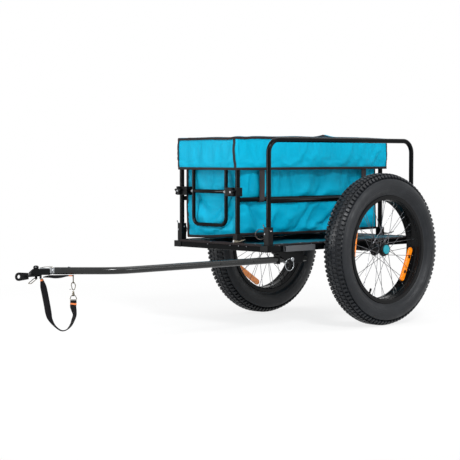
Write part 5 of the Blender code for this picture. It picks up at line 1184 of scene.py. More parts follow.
def make_bag():
    """The open bag: a shell with its folds, a sagging floor, edge tape, stitches and a rolled hem."""
    counts = (100, 40)
    top, bottom = BAG_HIGH.z - 0.004, BAG_LOW.z
    left, right, front, rear = BAG_HIGH.x, BAG_LOW.x, BAG_LOW.y, BAG_HIGH.y
    lift, tuck = 0.0180, 0.006
    rows = 46
    rings = []
    for j in range(rows + 1):
        share = j / rows
        lean = tuck * max(0.0, (share - 0.7) / 0.3)
        level = []
        for place, out, label, t in panel_ring(left, right + lean, front, rear, BAG_CORNER, counts):
            low_edge = bottom + lift * (place.x - right) / (left - right) - 0.004 * math.sin(math.pi * t)
            height = top + (low_edge - top) * share
            number = counts[0] if label in ("left", "right") else counts[1]
            shift = bag_shift(label, place, height, low_edge) * min(1.0, t * number / 3, (1 - t) * number / 3)
            pulled = min(1.0, max(0.0, (HOOP_RAIL_Z + 0.03 - height) / 0.15))
            flare = 0.0080 * pulled * math.exp(-(((place - Vector((left, rear))).length / 0.03) ** 2))
            at = place + out * shift + Vector((0, flare))
            level.append(Vector((at.x, at.y, height)))
        rings.append(level)
    middle = Vector(((left + right) / 2, (front + rear) / 2, 0))
    for inset, sag in ((0.97, -0.001), (0.86, 0.0), (0.6, 0.003), (0.3, 0.004), (0.08, 0.004)):
        level = []
        for point in rings[rows]:
            flat = middle + (point - middle) * inset
            level.append(Vector((flat.x, flat.y, max(point.z - sag, DECK_HIGH.z + 0.0035))))
        rings.append(level)
    sheet = cloth_mesh("bag_cloth", rings, 0.0014, "bag", True, ["bag"])
    sides = panel_ring(left, right, front, rear, BAG_CORNER, counts)
    count = len(rings[0])
    held = {*range(2 * count), *range((rows - 1) * count, len(sheet.data.vertices))}
    held |= {j * count + k for k, column in enumerate(sides) if column[3] in (0, 1) for j in range(rows)}

    def outer(label, at):
        clear = 0.0004 + 0.3 * max(0.0, abs(at.z - HOOP_RAIL_Z) - 0.012)
        return min(0.0075, clear) if label in ("left", "right") else 0.0075

    settled(sheet, held, 0.034, wall_cap(sides, rows, lambda label, at: -0.013, outer, 0.006))
    walls = settled_rings(sheet, rows + 1, count)
    outs = [out.to_3d() for _, out, _, _ in sides]
    edge = walls[rows]
    path = [taped(walls[rows - 1][k], p, outs[k], 0.2, 0.0010) for k, p in enumerate(edge)]
    binding("bag_bottom_binding", path, [(out.x, out.y, -0.12) for out in outs])
    columns = {
        "rear_left": counts[0] + 2, "rear_right": counts[0] + counts[1] + 7,
        "front_right": 2 * counts[0] + counts[1] + 15, "front_left": count - 3,
    }
    corner_bindings("bag", walls[3:], outs, columns, 0.0120)
    raised = [p + out * 0.0008 + Vector((0, 0, 0.0075)) for p, out in zip(edge, outs)]
    stitches("bag_bottom_stitches", raised)
    hem = [p - out * 0.0008 for p, out in zip(walls[0], outs)]
    binding("bag_rim_hem", hem, [tuple(out) for out in outs], width=0.006, thickness=0.0022)


def cuff_point(place, out, reach, height, top_lift, depth):
    """A point of the cuff's section at a place round the bag: reach outward and height, with its waves."""
    x, y = place
    hang = max(0.0, (CUFF_HIGH.z - height) / (CUFF_HIGH.z - CUFF_LOW.z))
    belly = math.sin(math.pi * min(1.0, hang))
    wave = noise.noise(Vector((x * 9 + 5, y * 9, height * 7))) * 0.0050 * hang
    wave += noise.noise(Vector((x * 26, y * 26, height * 15))) * 0.0014 * hang
    shift = max(-0.0008, 0.0012 * belly + wave + depth * belly)
    at = place + out * (reach + shift)
    return Vector((at.x, at.y, height + top_lift))


CUFF_FOLDS = (
    ((-0.50, 0.74), (-0.44, 0.63), 0.018, -0.004), ((-0.36, 0.74), (-0.30, 0.62), 0.022, 0.004),
    ((-0.22, 0.62), (-0.12, 0.74), 0.020, -0.004), ((0.02, 0.62), (0.10, 0.74), 0.020, 0.005),
    ((0.12, 0.62), (0.20, 0.74), 0.016, -0.005), ((0.20, 0.63), (0.27, 0.72), 0.014, 0.004),
)


def make_cuff():
    """The cuff folded over the top rails, with tape on its ridge, its hem and its corners."""
    counts = (100, 44)
    top, hem = CUFF_HIGH.z, CUFF_LOW.z
    left, right, front, rear = CUFF_HIGH.x, CUFF_LOW.x, CUFF_LOW.y, CUFF_HIGH.y
    ring_now = panel_ring(left, right, front, rear, CUFF_CORNERS, counts)
    gap = CUFF_INSET
    inset = (BAG_HIGH.x - gap, BAG_LOW.x + gap, BAG_LOW.y + gap, BAG_HIGH.y - gap)
    inner_now = panel_ring(*inset, BAG_CORNER, counts)
    profile = [("inner", 0.0, top - 0.022), ("inner", 0.0, top - 0.008), ("inner", 0.0008, top - 0.003)]
    profile += [("inner", 0.003, top - 0.0006), ("mix", 0.35, top), ("mix", 0.7, top)]
    profile += [("outer", -0.0028, top - 0.0006), ("outer", -0.0010, top - 0.0022)]
    drops, fall = 18, hem - top + 0.0055
    profile += [("outer", 0.0, top - 0.0055 + fall * k / drops) for k in range(drops + 1)]

    def ridge_lift(place):
        far, near = Vector((right, rear)) - place, Vector((left, front)) - place
        peak = 0.0090 * math.exp(-((far.length / 0.17) ** 2)) + 0.0130 * math.exp(-far.length / 0.045)
        beside = max(0.0, 1 - (left - place.x) / 0.04) * min(1.0, near.length / 0.08)
        peak += 0.0045 * beside * max(0.0, min(1.0, (rear - place.y) / 0.12))
        peak += 0.0040 * math.exp(-((near.length / 0.030) ** 2))
        return peak + (0.0022 * noise.noise(Vector((place.x * 7, place.y * 7, 3.1))) - 0.0008)

    rings = []
    for kind, reach, height in profile:
        level = []
        for (place, out, label, t), (inside, inner_out, _, _) in zip(ring_now, inner_now):
            lift = ridge_lift(place) * max(0.0, 1 - (top - height) / 0.11)
            if kind == "outer":
                along = place.y if label in ("left", "right") else place.x
                depth = fold_field(CUFF_FOLDS, along, height) if label in ("left", "front") else 0.0
                bulge = 0.003 * math.exp(-(((place - Vector((right, front))).length / 0.04) ** 2))
                level.append(cuff_point(place, out, reach, height, lift, depth + bulge))
            elif kind == "inner":
                at = inside + inner_out * reach
                level.append(Vector((at.x, at.y, height + lift)))
            else:
                at = inside.lerp(place, reach)
                sag = 0.0012 * math.sin(math.pi * t)
                level.append(Vector((at.x, at.y, height + lift - sag)))
        rings.append(level)
    sheet = cloth_mesh("cuff_cloth", rings, 0.0013, "bag", False, ["bag_cuff"])
    count = len(ring_now)
    held = {*range(10 * count), *range((len(rings) - 2) * count, len(rings) * count)}

    def inward(label, at):
        return -0.0008 if at.z < top - 0.008 else 0.0

    settled(sheet, held, 0.018, wall_cap(ring_now, len(rings), inward, lambda label, at: 0.0060, 0.004))
    rings = settled_rings(sheet, len(rings), count)
    outs = [out.to_3d() for _, out, _, _ in ring_now]
    ridge = [taped(rings[8][k], p, outs[k], 0.95, 0.0010) for k, p in enumerate(rings[9])]
    binding("cuff_ridge_binding", ridge, [(o.x, o.y, 0.22) for o in outs], thickness=0.0034)
    fold = [rings[1][k].lerp(p, 0.75) - outs[k] * 0.0012 for k, p in enumerate(rings[2])]
    binding("cuff_fold_binding", fold, [(-o.x, -o.y, 0.1) for o in outs])
    last = rings[-1]
    path = [taped(rings[-2][k], p, outs[k], 0.5, 0.0013) for k, p in enumerate(last)]
    binding("cuff_hem_binding", path, [tuple(o) for o in outs])
    stitches("cuff_hem_stitches", [p + o * 0.0025 + Vector((0, 0, 0.0065)) for p, o in zip(last, outs)])
    columns = {
        "rear_left": counts[0] + 2, "rear_right": counts[0] + counts[1] + 7,
        "front_right": 2 * counts[0] + counts[1] + 14,
    }
    corner_bindings("cuff", rings[7:], outs, columns, 0.0125)
    path = []
    for level in rings[7:]:
        span = sorted((p.x, p.y) for p in level if p.y < front + 0.004)
        drop_share = (top - level[count - 8].z) / (top - hem)
        x = 0.0765 + 0.0095 * drop_share
        y = float(np.interp(x, [a for a, _ in span], [b for _, b in span]))
        path.append(Vector((x, y - 0.0014, level[count - 8].z)))
    binding("cuff_front_left_binding", path, [(0, -1, 0)] * len(path), False, 0.0125)


def make_side_straps():
    """Webbing from the cuff's hem down and round the middle rail, with its stitches."""
    flat, half = 0.0007, 0.0135
    section = [(-flat, -half), (flat, -half), (0.0009, 0), (flat, half), (-flat, half), (-0.0009, 0)]
    x, r = MIDDLE_X + TUBE + 0.0014, HOOP_RAIL + 0.0014
    for name, y in SIDE_STRAPS:
        rail = Vector((MIDDLE_X, y, HOOP_RAIL_Z))
        round_rail = [(dx, 0, dz) for dx, dz in arc_points(r, range(20, -181, -20))]
        round_rail.append((-r + 0.0006, 0, 0.006))
        path = [(x, y, CUFF_LOW.z + 0.006), (x, y, 0.58), (x, y, 0.545)]
        path += [rail + Vector(p) for p in round_rail]
        strap = swept(path, section, [(1, 0, 0)] * 3 + round_rail)
        piece(name + "_web", strap, "grey_web", stands_for=[name], angle=60)
        corners = ((-1, -1), (1, -1), (1, 1), (-1, 1))
        stitches(name + "_stitches", [(x + 0.0011, y + u * 0.010, 0.552 + v * 0.011) for u, v in corners])


def make_deck():
    """The deck cloth, sagging between the rails, with its wavy black edge and rivets."""
    half, front, rear = DECK_HIGH.x, DECK_LOW.y, DECK_HIGH.y
    notch = 0.0135
    inner, ahead, behind = RAIL_X - notch, HOOP_FRONT + notch, HOOP_REAR - notch
    spans = ((-half, -inner, 4), (-inner, inner, 49), (inner, half, 4))
    xs = sorted({-half, half, *[float(x) for span in spans for x in np.linspace(*span).round(6)]})
    spans = ((front, ahead, 5), (ahead, behind, 71), (behind, rear, 5))
    ys = sorted({float(y) for span in spans for y in np.linspace(*span).round(6)})
    shape = bmesh.new()
    layer = shape.loops.layers.uv.new("weave")
    bays = ((front + 0.045, MIDDLE_RAIL_Y - 0.022), (MIDDLE_RAIL_Y + 0.022, rear - 0.045))

    def height(x, y):
        sag = 0.0
        for start, end in bays:
            if start < y < end and abs(x) < 0.226:
                sag = 0.006 * math.sin(math.pi * (y - start) / (end - start)) * math.cos(math.pi * x / 0.452)
        ripple = 0.0006 * noise.noise(Vector((x * 30, y * 30, 0)))
        return DECK_HIGH.z - sag + (ripple - 0.0004 if sag else 0)

    grid = {}
    for i, x in enumerate(xs):
        for j, y in enumerate(ys):
            grid[i, j] = shape.verts.new((x, y, height(x, y)))
    for i in range(len(xs) - 1):
        for j in range(len(ys) - 1):
            beside = abs(xs[i] + xs[i + 1]) / 2 > inner
            if beside and not ahead < (ys[j] + ys[j + 1]) / 2 < behind:
                continue
            face = shape.faces.new((grid[i, j], grid[i + 1, j], grid[i + 1, j + 1], grid[i, j + 1]))
            for corner in face.loops:
                corner[layer].uv = corner.vert.co.xy
    loose = [v for v in shape.verts if not v.link_faces]
    bmesh.ops.delete(shape, geom=loose, context="VERTS")
    bmesh.ops.transform(shape, matrix=HOME, verts=shape.verts)
    sheet = walled(placed("deck_cloth", shape), 0.0016, "deck", ["deck_sheet"])
    make_deck_edge(half, front, rear, inner, ahead, behind)


def make_deck_edge(half, front, rear, inner, ahead, behind):
    """Black edge tape with a wavy inner border, held down by rivets."""
    z, steps = DECK_HIGH.z, 90
    runs = [
        ("front", (-inner, front), (inner, front), (0, 1)), ("rear", (inner, rear), (-inner, rear), (0, -1)),
        ("left", (half, ahead), (half, behind), (-1, 0)), ("right", (-half, behind), (-half, ahead), (1, 0)),
    ]
    rivets = []
    for label, start, end, inward in runs:
        start, end, inward = Vector(start), Vector(end), Vector(inward)
        shape = bmesh.new()
        layer = shape.loops.layers.uv.new("weave")
        rows, inner_path = [], []
        run = (end - start).length
        waves = round(run / SCALLOP)
        for k in range(steps + 1):
            t = k / steps
            scallop = abs(math.sin(math.pi * t * waves))
            wide = 0.010 + 0.008 * scallop + 0.002 * noise.noise(Vector((t * 9, run, 0)))
            outside = start.lerp(end, t) - inward * 0.0030
            edge = start.lerp(end, t) + inward * wide
            lift = 0.0009 + 0.0010 * scallop
            points = [(outside.x, outside.y, z - 0.0060), (outside.x, outside.y, z + 0.0004)]
            points += [(outside.x + inward.x * 0.0015, outside.y + inward.y * 0.0015, z + 0.0010)]
            points += [(edge.x, edge.y, z + lift), (edge.x, edge.y, z - 0.0002)]
            rows.append([shape.verts.new(p) for p in points])
            inner_path.append(Vector((edge.x, edge.y, z + lift)))
        for k in range(steps):
            for m in range(4):
                face = shape.faces.new((rows[k][m], rows[k + 1][m], rows[k + 1][m + 1], rows[k][m + 1]))
                marks = ((k, m), (k + 1, m), (k + 1, m + 1), (k, m + 1))
                for corner, (u, v) in zip(face.loops, marks):
                    corner[layer].uv = (v * 0.006, u * run / steps)
        edge_piece = piece(f"deck_{label}_edge", shape, "binding", angle=50)
        wall = edge_piece.modifiers.new("wall", "SOLIDIFY")
        wall.thickness, wall.offset = 0.0005, 1
        upward = [(0, 0, 1)] * len(inner_path)
        binding(f"deck_{label}_piping", inner_path, upward, False, 0.0032, 0.0026)
        ends = [start.lerp(end, share) + inward * 0.009 for share in (0.5 / waves, 1 - 0.5 / waves)]
        rivets.append((label, [(*place, z + 0.0018) for place in ends], run / waves))
    heads = []
    places = [(x, -0.5711, 0.3300, 0, -1) for x in FRONT_RIVET_XS]
    places += [(half + 0.0031, y, 0.3355, 1, 0) for y in SIDE_RIVET_YS]
    for x, y, height, u, v in places:
        foot, out = Vector((x, y, height)), Vector((u, v, 0))
        heads.append(rod(foot - out * 0.002, foot + out * 0.0010, 0.0024, 16, 0.0006))
    piece("deck_edge_rivets", merged(*heads), "spoke")
    profile = [(-0.0012, 0.0), (-0.0012, 0.0042), (0.0002, 0.0044), (0.0012, 0.0032), (0.0016, 0.0)]
    for label, path, gap in rivets:
        head = turned(profile, 14, Matrix.Rotation(-math.pi / 2, 4, "Y"))
        repeated(f"deck_{label}_rivets", path_tree(), head, {"Spacing": gap}, "zinc", "trailer", path=path)


# Tow bar and hitch


def make_tow_bar():
    """The bent tow tube with its rivet, its end plug and its bolts."""
    start = Vector((TOW_X, TOW_REAR_Y, TOW_Z))
    tube = swept(rounded([start, TOW_CORNER, TOW_END], TOW_BEND, 28), circle(TOW_TUBE, 32), (0, 0, 1))
    piece("tow_tube", tube, "tow_paint", stands_for=["tow_bar"], angle=50)
    top = TOW_CORNER + TOW_RIVET_RUN * TOW_DIRECTION + Vector((0, 0, TOW_TUBE - 0.0006))
    piece("tow_bar_rivet", rod(top, top + Vector((0, 0, 0.0028)), 0.0044, 20, 0.0012), "zinc")
    inside, proud = start - Vector((0, 0.003, 0)), start + Vector((0, 0.0022, 0))
    fasteners = [rod(inside, proud, TOW_TUBE - 0.0008, 32, 0.0012)]
    for y in TOW_BOLT_YS:
        at = Vector((TOW_X + TOW_TUBE - 0.0006, y, TOW_Z))
        fasteners.append(rod(at, at + Vector((0.0014, 0, 0)), 0.0028, 18, 0.0006))
    piece("tow_bar_bolts", merged(*fasteners), "plastic")


def make_tow_pin():
    """The cross pin of the bracket, with its finger ring."""
    place = Matrix.Translation((TOW_X, TOW_PIN_Y, TOW_Z))
    face = RECEIVER_HIGH.x - TOW_X + 0.0003
    profile = [(-face, 0), (-face, 0.0030), (-face + 0.001, 0.0040), (face, 0.0040), (face, 0.0072)]
    profile += [(face + 0.0008, 0.0080), (face + 0.0050, 0.0080), (face + 0.0060, 0.0070), (face + 0.0060, 0)]
    piece("tow_cross_pin", turned(profile, 32), "zinc", "cross_pin", ["tow_pin"], place, angle=30)
    loop = ring((face + 0.0030, -0.0150, -0.0205), 0.0225, 0.0014, (1, 0, 0), 48, 10)
    piece("tow_pin_ring", loop, "zinc", "cross_pin", (), place, angle=60)


def wire_loop(corners, bend, normal, steps=8, wire=0.0014):
    """A closed loop of wire through corners, in the plane across normal."""
    normal = tuple(Vector(normal).normalized())
    return swept(rounded(corners, bend, steps, True), circle(wire, 12), normal, closed=True)


def make_coupler():
    """Collar, coupler and latch at the bar's front end."""
    third, bore, spigot, waist, shoulder, outside = COLLAR / 3, 0.0066, 0.0098, 0.0104, 0.0118, 0.0123
    profile = [(-0.022, bore), (-0.022, spigot), (0.0003, spigot), (0.0003, shoulder), (0.0008, outside)]
    profile += [(third, outside), (third + 0.0010, shoulder), (1.3 * third + 0.0005, waist)]
    profile += [(COLLAR - 1.3 * third, waist), (COLLAR - third - 0.0005, shoulder), (COLLAR - third, outside)]
    profile += [(COLLAR - 0.0005, outside), (COLLAR, shoulder), (COLLAR, bore)]
    turn = HITCH @ Matrix.Rotation(-math.pi / 2, 4, "Z")
    piece("plated_collar", turned(profile, 48, turn), "zinc", stands_for=["hitch_collar"], angle=25)
    casting = solid_copy("hitch_coupler")
    bmesh.ops.transform(casting, matrix=HITCH.inverted(), verts=casting.verts)
    slope_start, slope_end = -0.0757, -0.0891
    whole = [*casting.verts, *casting.edges, *casting.faces]
    bmesh.ops.bisect_plane(casting, geom=whole, plane_co=(0, slope_start, 0), plane_no=(0, 1, 0), dist=1e-6)
    for vertex in casting.verts:
        if vertex.co.y < slope_start - 1e-5 and vertex.co.z > 0:
            vertex.co.z -= 0.0110 * (vertex.co.y - slope_start) / (slope_end - slope_start)
            vertex.co.x *= 0.9
    bmesh.ops.transform(casting, matrix=HITCH, verts=casting.verts)
    piece("coupler_casting", casting, "plastic", stands_for=["hitch_coupler"], bevel=0.0010)
    piece("latch_spring", solid_copy("hitch_latch"), "zinc", "coupler_latch", ["hitch_latch"], bevel=0.0005)
    blade = [(-0.0500, 0.0104), (-0.0400, 0.0128), (-0.0240, 0.0146), (-0.0120, 0.0150)]
    curl = [(0, -0.0092, 0.0142), (0, -0.0086, 0.0124), (0, -0.0100, 0.0110)]
    half, thin = 0.0042, 0.0006
    section = [(-half, -thin), (half, -thin), (0.0046, 0), (half, thin), (-half, thin), (-0.0046, 0)]
    finger = swept([*smooth_curve([(0, *p) for p in blade], 6), *curl], section, (1, 0, 0))
    piece("latch_finger_blade", finger, "nickel", "coupler_latch", (), HITCH, angle=40)


def make_hitch_plate():
    """The plate on the bicycle's axle, with the hitch pin and its bail."""
    body = "hitch_plate"
    piece("axle_plate_forging", solid_copy("axle_plate"), "plastic", body, ["axle_plate"], bevel=0.0009)
    pivot = joint_place("hitch_yaw")
    foot, seat, shank = -0.0288, COUPLER_ABOVE + 0.0003, 0.0045
    knob = [(0, 0.0078), (0.0010, 0.0088), (0.0034, 0.0095), (0.0062, 0.0095), (0.0086, 0.0086)]
    knob += [(0.0104, 0.0066), (0.0114, 0.0038), (0.0117, 0)]
    profile = [(foot, 0), (foot, 0.0036), (foot + 0.0012, shank), (seat, shank)]
    profile += [(seat + x, r) for x, r in knob]
    turn = Matrix.Translation(pivot) @ Matrix.Rotation(-math.pi / 2, 4, "Y")
    piece("knobbed_hitch_pin", turned(profile, 40, turn), "plastic", body, ["hitch_pin"], angle=30)
    reach = HITCH.to_3x3() @ Vector((0.0100, 0, 0))
    middle = pivot + Vector((0, 0, seat + 0.0056))
    piece("pin_knob_rivet", rod(middle - reach, middle + reach, 0.0019, 16, 0.0005), "zinc", body)
    half, forward, drop = 0.0081, -0.027, -0.017
    corners = [(-half, 0, 0), (half, 0, 0), (half, forward, drop), (-half, forward, drop)]
    wire = wire_loop(corners, 0.0030, (0, drop, -forward))
    place = Matrix.Translation(joint_place("bail_swing"))
    piece("wire_bail", wire, "nickel", "pin_bail", ["hitch_pin_bail"], place, angle=60)


def strap_point(run, height):
    return HITCH @ Vector((0, -(run - TOW_FRONT_RUN), height))


def web_strip(points, twists, width=STRAP_WIDTH, thickness=STRAP_THICKNESS):
    """A flat web along points in the strap's plane, twisted as it goes, with its edges rounded."""
    side = (HITCH.to_3x3() @ Vector((1, 0, 0))).normalized()
    normals = []
    for i in range(len(points)):
        ahead = (points[min(i + 1, len(points) - 1)] - points[max(i - 1, 0)]).normalized()
        flat = Matrix.Rotation(math.radians(twists[i]), 3, ahead) @ side
        normals.append(tuple(flat))
    w, t = width / 2, thickness / 2
    section = [(-w, 0), (-w + t, -t), (0, -t * 1.1), (w - t, -t)]
    section += [(-across, -through) for across, through in section]
    return swept(points, section, normals)


def make_safety_strap():
    """The webbing loop, its web under the bar, bartacks, swivel ring and snap hook."""
    route = smooth_curve(STRAP_ROUTE, 6)
    points = [strap_point(run, z) for run, z, _ in route]
    twists = [twist for _, _, twist in route]
    web = web_strip(points, twists)
    strap = piece("safety_strap_web", web, "black_web", stands_for=["safety_strap"], angle=60)
    held = [strap_point(run, z) for run, z, _ in smooth_curve([(*p, 0) for p in ANCHOR_ROUTE], 6)]
    tilts = [24 * math.sin(math.pi * min(1.0, 1.15 * k / (len(held) - 1))) for k in range(len(held))]
    piece("anchor_web", web_strip(held, tilts), "black_web", stands_for=["strap_anchor_web"], angle=60)
    tacks = []
    for part, turns in ((points[1:4], twists[1:4]), (points[-10:-6], twists[-10:-6]), (held[-5:-1], [0] * 4)):
        tacks.append(web_strip(part, turns, STRAP_WIDTH + 0.0006, STRAP_THICKNESS + 0.0008))
    piece("bartacks", merged(*tacks), "thread", angle=50)
    half, ring_y, low, high = 0.0055, TOW_FRONT_RUN - 0.1536, -0.0430, -0.0150
    corners = [(-half, ring_y, low), (half, ring_y, low), (half, ring_y, high), (-half, ring_y, high)]
    piece("anchor_ring", wire_loop(corners, 0.0044, (0, 1, 0)), "nickel", turn=HITCH, angle=60)
    low, high = node_box("swivel_ring")
    bottom, top = low.z + 0.0014 - TOW_Z, high.z - 0.0014 - TOW_Z
    corners = [(0, ring_y - 0.0125, bottom), (0, ring_y - 0.0075, top), (0, ring_y + 0.0075, top)]
    corners.append((0, ring_y + 0.0125, bottom))
    loop = wire_loop(corners, 0.0031, (1, 0, 0))
    swivel = piece("strap_swivel_ring", loop, "nickel", "trailer", ["swivel_ring"], HITCH, angle=60)
    base, hook_half, widest, crown = high.z + 0.0003 - TOW_Z, 0.0069, 0.0155, 0.0444
    corners = [(0, 0, widest - 0.004), (0, 0.7 * hook_half, widest + 0.006), (0, 1.12 * hook_half, 0.0335)]
    corners += [(0, 0.5 * hook_half, crown), (0, -0.6 * hook_half, crown), (0, -hook_half, 0.0350)]
    corners.append((0, -0.5 * hook_half, widest + 0.006))
    loop = wire_loop(corners, 0.0045, (1, 0, 0), 6, 0.0015)
    body = [(0, 0), (0, 0.0040), (0.0006, 0.0047), (0.0030, 0.0050), (0.0044, 0.0046), (0.0052, 0.0036)]
    body += [(0.0060, 0.0040), (0.0145, 0.0026), (0.0152, 0.0020), (0.0152, 0)]
    barrel = turned(body, 28, Matrix.Rotation(-math.pi / 2, 4, "Y"))
    tab = rod((0, -hook_half, 0.021), (0, -hook_half - 0.0062, 0.0195), 0.0010, 12)
    place = HITCH @ Matrix.Translation((0, ring_y, base))
    shape = merged(loop, barrel, tab)
    hook = piece("snap_hook_body", shape, "nickel", "strap_hook", ["snap_hook"], place, angle=45)


# Hidden pieces keep their solids


def dress_solids():
    """Finishes for the nodes whose solids are shown as they are."""
    looks = {"inner_tube": "lining", "hub_bearings": "steel", "axle": "steel"}
    for side, _ in SIDES:
        for part, look in looks.items():
            frame["nodes"][f"{side}_{part}"].data.materials[0] = finish(look)


# Stage

CAMERA_PLACE = Vector((4.0897, -4.3270, 0.6728))
CAMERA_TURN, CAMERA_RISE = math.radians(46.9984), math.radians(2.949)
CAMERA_FOCAL, PHOTO_WIDTH, SENSOR = 1429.8, 460, 36.0
WHITE = (1, 1, 1, 1)


def area_light(name, place, target, watts, **settings):
    """An area light at a place, aimed at another."""
    lamp = bpy.data.lights.new(name, "AREA")
    lamp.energy = watts
    for key, value in settings.items():
        setattr(lamp, key, value)
    made = placed(name, lamp)
    turn = (Vector(target) - Vector(place)).to_track_quat("-Z", "Y").to_matrix().to_4x4()
    made.matrix_world = HOME @ Matrix.Translation(place) @ turn
    return made


def make_camera(scene):
    """The camera that took the photograph, from its fit to the wheels."""
    data = bpy.data.cameras.new("photo_camera")
    data.sensor_width = SENSOR
    data.lens = CAMERA_FOCAL * SENSOR / PHOTO_WIDTH
    camera = placed("photo_camera", data)
    a, e = CAMERA_TURN, CAMERA_RISE
    right = Vector((math.cos(a), math.sin(a), 0))
    back = Vector((math.sin(a) * math.cos(e), -math.cos(a) * math.cos(e), math.sin(e)))
    turn = Matrix((right, back.cross(right), back)).transposed().to_4x4()
    camera.matrix_world = HOME @ Matrix.Translation(CAMERA_PLACE) @ turn
    scene.camera = camera


def seen_as_white(tree, rays, plain, white, output, share=None):
    """Mixes a plain look with white for the rays that see the background, by a share if one is given."""
    path = tree_node(tree, "ShaderNodeLightPath")
    seen = path.outputs[rays[0]]
    for ray in rays[1:]:
        seen = maths(tree, "MAXIMUM", seen, path.outputs[ray])
    if share:
        seen = maths(tree, "MULTIPLY", seen, share)
    mixed = tree_node(tree, "ShaderNodeMixShader", {0: seen, 1: plain.outputs[0], 2: white.outputs[0]})
    tree.links.new(mixed.outputs[0], tree.nodes[output].inputs["Surface"])


def make_floor(tint):
    """A pale floor that keeps the trailer's shadow and turns into the white background away from it."""
    shape = bmesh.new()
    bmesh.ops.create_grid(shape, x_segments=2, y_segments=2, size=30)
    floor = placed("floor", shape)
    floor.location.z = -0.0004
    material, tree, shader, _ = new_finish("pale_floor", tint, 0.9)
    floor.data.materials.append(material)
    white = tree_node(tree, "ShaderNodeEmission", {"Color": WHITE, "Strength": 1.0})
    place = tree_node(tree, "ShaderNodeNewGeometry").outputs[0]
    away = tree_node(tree, "ShaderNodeVectorMath", {0: place}, operation="LENGTH").outputs["Value"]
    share = ranged(tree, away, 0.8, 1, 1.2, 2.4)
    seen_as_white(tree, ("Is Camera Ray", "Is Glossy Ray"), shader, white, "Material Output", share)


def make_world(scene):
    """Even light from all round, seen as white."""
    world = bpy.data.worlds.new("studio")
    scene.world = world
    world.use_nodes = True
    tree = world.node_tree
    ambient = tree.nodes["Background"]
    ambient.inputs["Color"].default_value = WHITE
    ambient.inputs["Strength"].default_value = 0.50
    white = tree_node(tree, "ShaderNodeBackground", {"Color": WHITE, "Strength": 1.0})
    rays = ("Is Camera Ray", "Is Glossy Ray", "Is Transmission Ray")
    seen_as_white(tree, rays, ambient, white, "World Output")


def make_stage():
    """Camera, pale floor and surroundings, and soft lights."""
    scene = bpy.context.scene
    looks = scene.trailer_stage
    scene.view_settings.view_transform = "Standard"
    make_camera(scene)
    make_floor(looks.floor)
    make_world(scene)
    middle = (0, -0.3, 0.35)
    area_light("key_light", (-0.8, -3.8, 2.6), middle, looks.key, shape="DISK", size=1.8)
    area_light("fill_light", (3.4, -2.2, 3.4), middle, looks.fill, shape="DISK", size=1.1)
    area_light("top_light", (0.6, 0.8, 3.8), middle, looks.fill * 0.25, shape="DISK", size=2.6)
    panel = {"shape": "RECTANGLE", "size": 1.2, "size_y": 1.8}
    sparkles = (("front_sparkle", (-1.6, -4.1, 1.2), 170), ("side_sparkle", (4.2, 1.2, 1.6), 60))
    for name, place, watts in sparkles:
        area_light(name, place, (0, -0.2, 0.4), watts, **panel).visible_diffuse = False


# Operators


def operator(name, label, about, make):
    """An operator class that makes one group of pieces, and raises what its function raises."""

    def execute(self, context):
        make()
        return {"FINISHED"}

    space = {"bl_idname": f"trailer.{name}", "bl_label": label, "__doc__": about, "execute": execute}
    return type("TRAILER_OT_" + name, (bpy.types.Operator,), space)


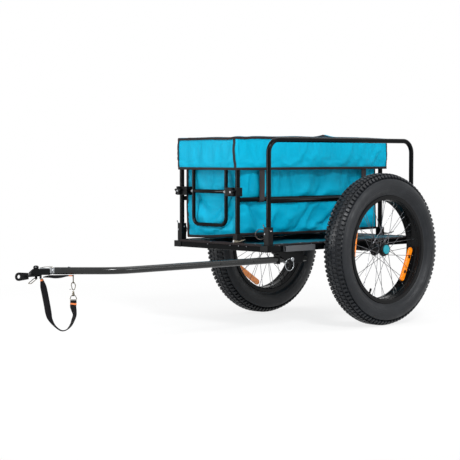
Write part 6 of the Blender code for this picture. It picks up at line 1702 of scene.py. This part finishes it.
OPERATORS = (
    operator("stage", "Stage", "Sets up the camera, the floor and the lights", make_stage),
    operator("safety_strap", "Safety strap", "Makes the strap, its rings and its hook", make_safety_strap),
    operator("tyres", "Tyres", "Makes the tyre casings and their tread", make_tyres),
    operator("rims", "Rims", "Makes the rims and the valves", make_rims),
    operator("spokes", "Spokes", "Makes the spokes and their nipples", make_spokes),
    operator("hubs", "Hubs", "Makes the hub shells and the release buttons", make_hubs),
    operator("reflectors", "Reflectors", "Makes the spoke reflectors and their clips", make_reflectors),
    operator("frame", "Frame", "Makes the box rails and the axle tube", make_base_frame),
    operator("fittings", "Fittings", "Makes the caps, sockets, clamps and brackets", make_rail_fittings),
    operator("hoops", "Hoops", "Makes the rail hoops", make_hoops),
    operator("pins", "Hoop pins", "Makes the hoop pins and their rings", make_hoop_pins),
    operator("levers", "Cam levers", "Makes the cam levers", make_levers),
    operator("guard", "Front guard", "Makes the guard loop and its bolts", make_guard),
    operator("knobs", "Star knobs", "Makes the star knobs", make_star_knobs),
    operator("bag", "Bag", "Makes the bag with its binding and stitches", make_bag),
    operator("cuff", "Cuff", "Makes the cuff over the top rails", make_cuff),
    operator("side_straps", "Side straps", "Makes the straps round the middle rail", make_side_straps),
    operator("deck", "Deck", "Makes the deck cloth, its edge and its rivets", make_deck),
    operator("tow_bar", "Tow bar", "Makes the tow tube and its bolts", make_tow_bar),
    operator("tow_pin", "Cross pin", "Makes the tow bar's cross pin", make_tow_pin),
    operator("coupler", "Coupler", "Makes the collar, the coupler and its latch", make_coupler),
    operator("hitch_plate", "Hitch plate", "Makes the axle plate, its pin and the bail", make_hitch_plate),
    operator("solids", "Hidden solids", "Finishes the solids that stay as they are", dress_solids),
)


class TRAILER_PT_panel(bpy.types.Panel):
    """The trailer's settings and the buttons that make its pieces"""

    bl_label = "Beach bike trailer"
    bl_idname = "TRAILER_PT_panel"
    bl_space_type = "VIEW_3D"
    bl_region_type = "UI"
    bl_category = "Trailer"

    def draw(self, context):
        for group in GROUPS:
            settings = getattr(context.scene, group)
            for entry in settings.bl_rna.properties:
                if entry.identifier not in ("rna_type", "name"):
                    self.layout.prop(settings, entry.identifier)
        for kind in OPERATORS:
            self.layout.operator(kind.bl_idname)


GROUPS = {
    "trailer_cloth": ClothLooks, "trailer_metal": MetalLooks, "trailer_wheels": WheelSizes,
    "trailer_stage": StageLooks,
}


def register():
    for group, kind in GROUPS.items():
        bpy.utils.register_class(kind)
        setattr(bpy.types.Scene, group, bpy.props.PointerProperty(type=kind))
    for kind in (*OPERATORS, TRAILER_PT_panel):
        bpy.utils.register_class(kind)


def unregister():
    for kind in (TRAILER_PT_panel, *reversed(OPERATORS)):
        bpy.utils.unregister_class(kind)
    for group, kind in GROUPS.items():
        delattr(bpy.types.Scene, group)
        bpy.utils.unregister_class(kind)


def main():
    register()
    for kind in OPERATORS:
        name = kind.bl_idname.split(".")[1]
        getattr(bpy.ops.trailer, name)()


if __name__ == "__main__":
    main()
